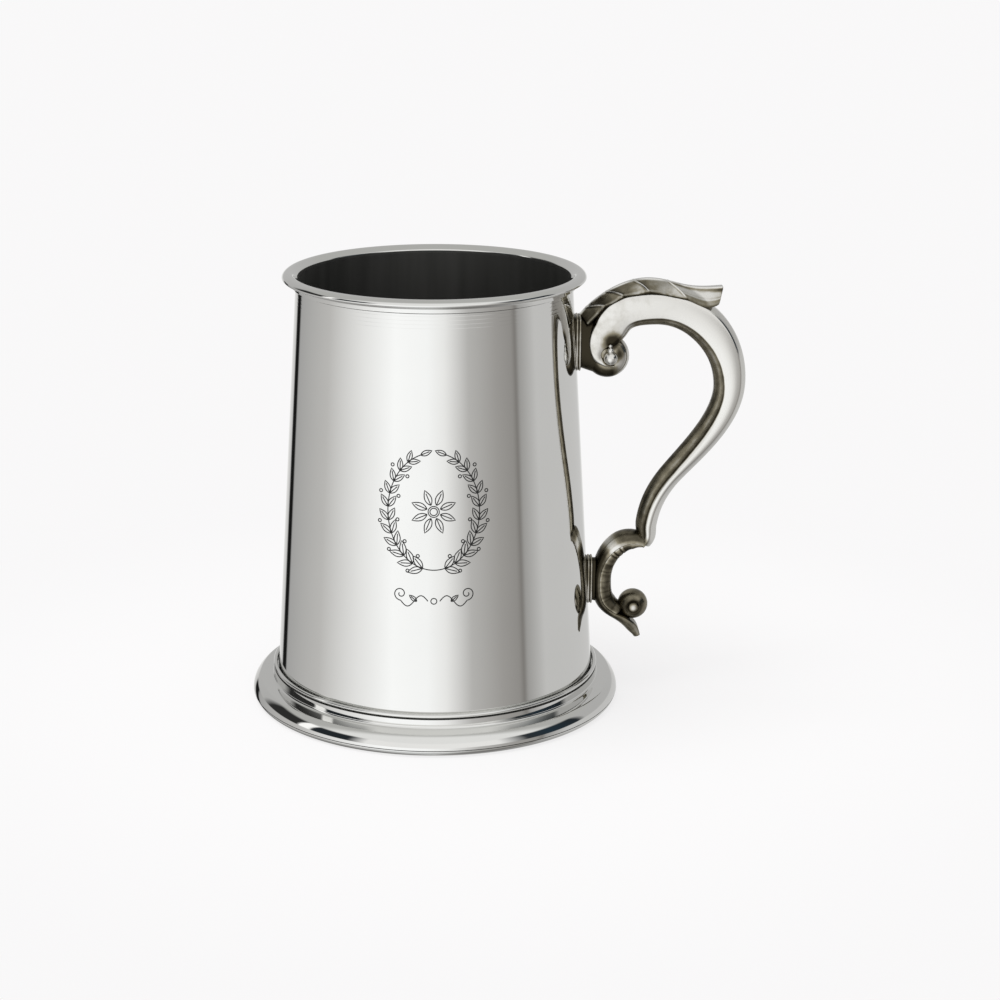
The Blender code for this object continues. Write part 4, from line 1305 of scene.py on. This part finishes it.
class TANKARD_OT_stage(bpy.types.Operator):
    """Set the floor, the light and the camera"""

    bl_idname = "tankard.stage"
    bl_label = "Stage"

    def execute(self, context):
        studio = context.scene.tankard_studio
        self.floor(context, studio)
        self.world(context, studio)
        self.lamp(context, studio)
        self.camera(context, studio)
        context.scene.view_settings.view_transform = "Standard"
        return {"FINISHED"}

    def floor(self, context, studio):
        """Pale paper that fades into the backdrop away from the tankard."""
        deselect_all()
        bpy.ops.mesh.primitive_circle_add(vertices=96, radius=studio.floor_radius, fill_type="NGON")
        floor = context.object
        floor.name = floor.data.name = "studio_floor"
        floor.visible_glossy = False
        material, tree = new_material("studio_floor")
        tree.nodes.clear()
        place = add_node(tree, "ShaderNodeTexCoord")
        distance = add_node(tree, "ShaderNodeVectorMath", operation="LENGTH")
        tree.links.new(place.outputs["Object"], distance.inputs[0])
        fade = add_range(tree, distance.outputs["Value"], 0.78, 1, 0.07, 0.20, "SMOOTHSTEP")
        paper = add_node(tree, "ShaderNodeBsdfDiffuse")
        paper.inputs["Color"].default_value = (*studio.floor, 1)
        glow = add_node(tree, "ShaderNodeEmission")
        glow.inputs["Color"].default_value = (*studio.background, 1)
        blend = add_node(tree, "ShaderNodeMixShader")
        out = add_node(tree, "ShaderNodeOutputMaterial")
        tree.links.new(fade, blend.inputs[0])
        tree.links.new(paper.outputs[0], blend.inputs[1])
        tree.links.new(glow.outputs[0], blend.inputs[2])
        tree.links.new(blend.outputs[0], out.inputs["Surface"])
        floor.data.materials.append(material)

    def world(self, context, studio):
        """A pale table below the horizon, a room with a soft box overhead, and the camera's backdrop."""
        world = bpy.data.worlds.new("studio")
        context.scene.world = world
        world.use_nodes = True
        tree = world.node_tree
        tree.nodes.clear()
        place = add_node(tree, "ShaderNodeTexCoord")
        split = add_node(tree, "ShaderNodeSeparateXYZ")
        tree.links.new(place.outputs["Generated"], split.inputs[0])
        height = split.outputs["Z"]
        toward = add_range(tree, split.outputs["Y"], 1, -1, -1, 1)
        azimuth = add_node(tree, "ShaderNodeMath", operation="ARCTAN2")
        tree.links.new(split.outputs["X"], azimuth.inputs[0])
        tree.links.new(toward, azimuth.inputs[1])
        turn = add_range(tree, azimuth.outputs[0], 0, 1, -math.pi, math.pi)
        seen = add_node(tree, "ShaderNodeMix", data_type="RGBA")
        above_table = add_range(tree, height, 0, 1, 0.0, 0.06, "SMOOTHSTEP")
        tree.links.new(above_table, seen.inputs["Factor"])
        tree.links.new(self.ramp(tree, turn, TABLE_TONES), seen.inputs["A"])
        tree.links.new(self.ramp(tree, turn, ROOM_TONES), seen.inputs["B"])
        overhead = add_node(tree, "ShaderNodeMix", data_type="RGBA")
        in_box = add_range(tree, height, 0, 1, 0.46, 0.58, "SMOOTHSTEP")
        tree.links.new(in_box, overhead.inputs["Factor"])
        tree.links.new(seen.outputs["Result"], overhead.inputs["A"])
        rays = add_node(tree, "ShaderNodeLightPath")
        # The soft box is dimmer behind the tankard where the metal mirrors it
        mirrored_back = add_node(tree, "ShaderNodeMath", operation="MULTIPLY")
        behind = add_range(tree, split.outputs["Y"], 0, 1, -0.35, 0.05, "SMOOTHSTEP")
        tree.links.new(behind, mirrored_back.inputs[0])
        tree.links.new(rays.outputs["Is Glossy Ray"], mirrored_back.inputs[1])
        ceiling = add_node(tree, "ShaderNodeMix", data_type="RGBA")
        ceiling.inputs["A"].default_value = (*studio.ceiling, 1)
        ceiling.inputs["B"].default_value = (*studio.ceiling_back, 1)
        tree.links.new(mirrored_back.outputs[0], ceiling.inputs["Factor"])
        tree.links.new(ceiling.outputs["Result"], overhead.inputs["B"])
        studio_light = add_node(tree, "ShaderNodeBackground")
        dimming = add_range(tree, height, 0.5, 1.0, -0.95, -0.45, "SMOOTHSTEP")
        tree.links.new(overhead.outputs["Result"], studio_light.inputs["Color"])
        tree.links.new(dimming, studio_light.inputs["Strength"])
        backdrop = add_node(tree, "ShaderNodeBackground")
        backdrop.inputs["Color"].default_value = (*studio.background, 1)
        whole = add_node(tree, "ShaderNodeMixShader")
        out = add_node(tree, "ShaderNodeOutputWorld")
        tree.links.new(rays.outputs["Is Camera Ray"], whole.inputs[0])
        tree.links.new(studio_light.outputs[0], whole.inputs[1])
        tree.links.new(backdrop.outputs[0], whole.inputs[2])
        tree.links.new(whole.outputs[0], out.inputs["Surface"])

    def ramp(self, tree, turn, tones):
        """Greys round the horizon, some tinted blue."""
        stops = []
        for tone in tones:
            tint = (tone.grey, 0.995 * tone.grey + 0.5 * tone.blue, 0.985 * tone.grey + tone.blue)
            stops.append(((tone.degrees + 180) / 360, tint))
        return add_ramp(tree, turn, stops)

    def lamp(self, context, studio):
        """A large soft lamp overhead that lights the floor and casts a soft shadow."""
        place = Vector(studio.lamp_place)
        bpy.ops.object.light_add(type="AREA", location=place)
        lamp = context.object
        lamp.name = "soft_lamp"
        lamp.data.size = studio.lamp_size
        lamp.data.energy = studio.lamp_power
        lamp.rotation_euler = (-place).to_track_quat("-Z", "Y").to_euler()
        lamp.visible_glossy = False

    def camera(self, context, studio):
        """The photograph's view."""
        data = bpy.data.cameras.new("photo_camera")
        data.lens = studio.lens
        data.sensor_width = 36.0
        data.shift_x = studio.shift
        data.clip_start = 0.01
        camera = bpy.data.objects.new("photo_camera", data)
        camera.location = studio.camera
        camera.rotation_euler = (math.pi / 2 - studio.pitch, 0, 0)
        context.scene.collection.objects.link(camera)
        context.scene.camera = camera


# Panel and registration
class TANKARD_PT_panel(bpy.types.Panel):
    """Lists the tankard's pieces and sizes"""

    bl_label = "Pewter Tankard"
    bl_idname = "TANKARD_PT_panel"
    bl_space_type = "VIEW_3D"
    bl_region_type = "UI"
    bl_category = "Tankard"

    def draw(self, context):
        for operator in OPERATORS:
            self.layout.operator(operator.bl_idname)
        for name in GROUPS:
            group = getattr(context.scene, name)
            box = self.layout.box()
            for size in group.__annotations__:
                box.prop(group, size)


OPERATORS = (
    TANKARD_OT_barrel,
    TANKARD_OT_rim,
    TANKARD_OT_foot,
    TANKARD_OT_floor_disc,
    TANKARD_OT_engraving,
    TANKARD_OT_lugs,
    TANKARD_OT_limb,
    TANKARD_OT_eyes,
    TANKARD_OT_thumb_leaf,
    TANKARD_OT_lower_scroll,
    TANKARD_OT_scroll_leaf,
    TANKARD_OT_ball,
    TANKARD_OT_stage,
)
GROUPS = {
    "tankard_cup": CupSizes,
    "tankard_handle": HandleSizes,
    "tankard_engraving": Engraving,
    "tankard_finish": Finish,
    "tankard_studio": Studio,
}
CLASSES = (*GROUPS.values(), *OPERATORS, TANKARD_PT_panel)


def register():
    for item in CLASSES:
        bpy.utils.register_class(item)
    for name, group in GROUPS.items():
        setattr(bpy.types.Scene, name, PointerProperty(type=group))


def unregister():
    for name in GROUPS:
        delattr(bpy.types.Scene, name)
    for item in reversed(CLASSES):
        bpy.utils.unregister_class(item)


def main():
    register()
    bpy.ops.tankard.barrel()
    bpy.ops.tankard.rim()
    bpy.ops.tankard.foot()
    bpy.ops.tankard.floor_disc()
    bpy.ops.tankard.engraving()
    bpy.ops.tankard.lugs()
    bpy.ops.tankard.limb()
    bpy.ops.tankard.eyes()
    bpy.ops.tankard.thumb_leaf()
    bpy.ops.tankard.lower_scroll()
    bpy.ops.tankard.scroll_leaf()
    bpy.ops.tankard.ball()
    bpy.ops.tankard.stage()


if __name__ == "__main__":
    main()
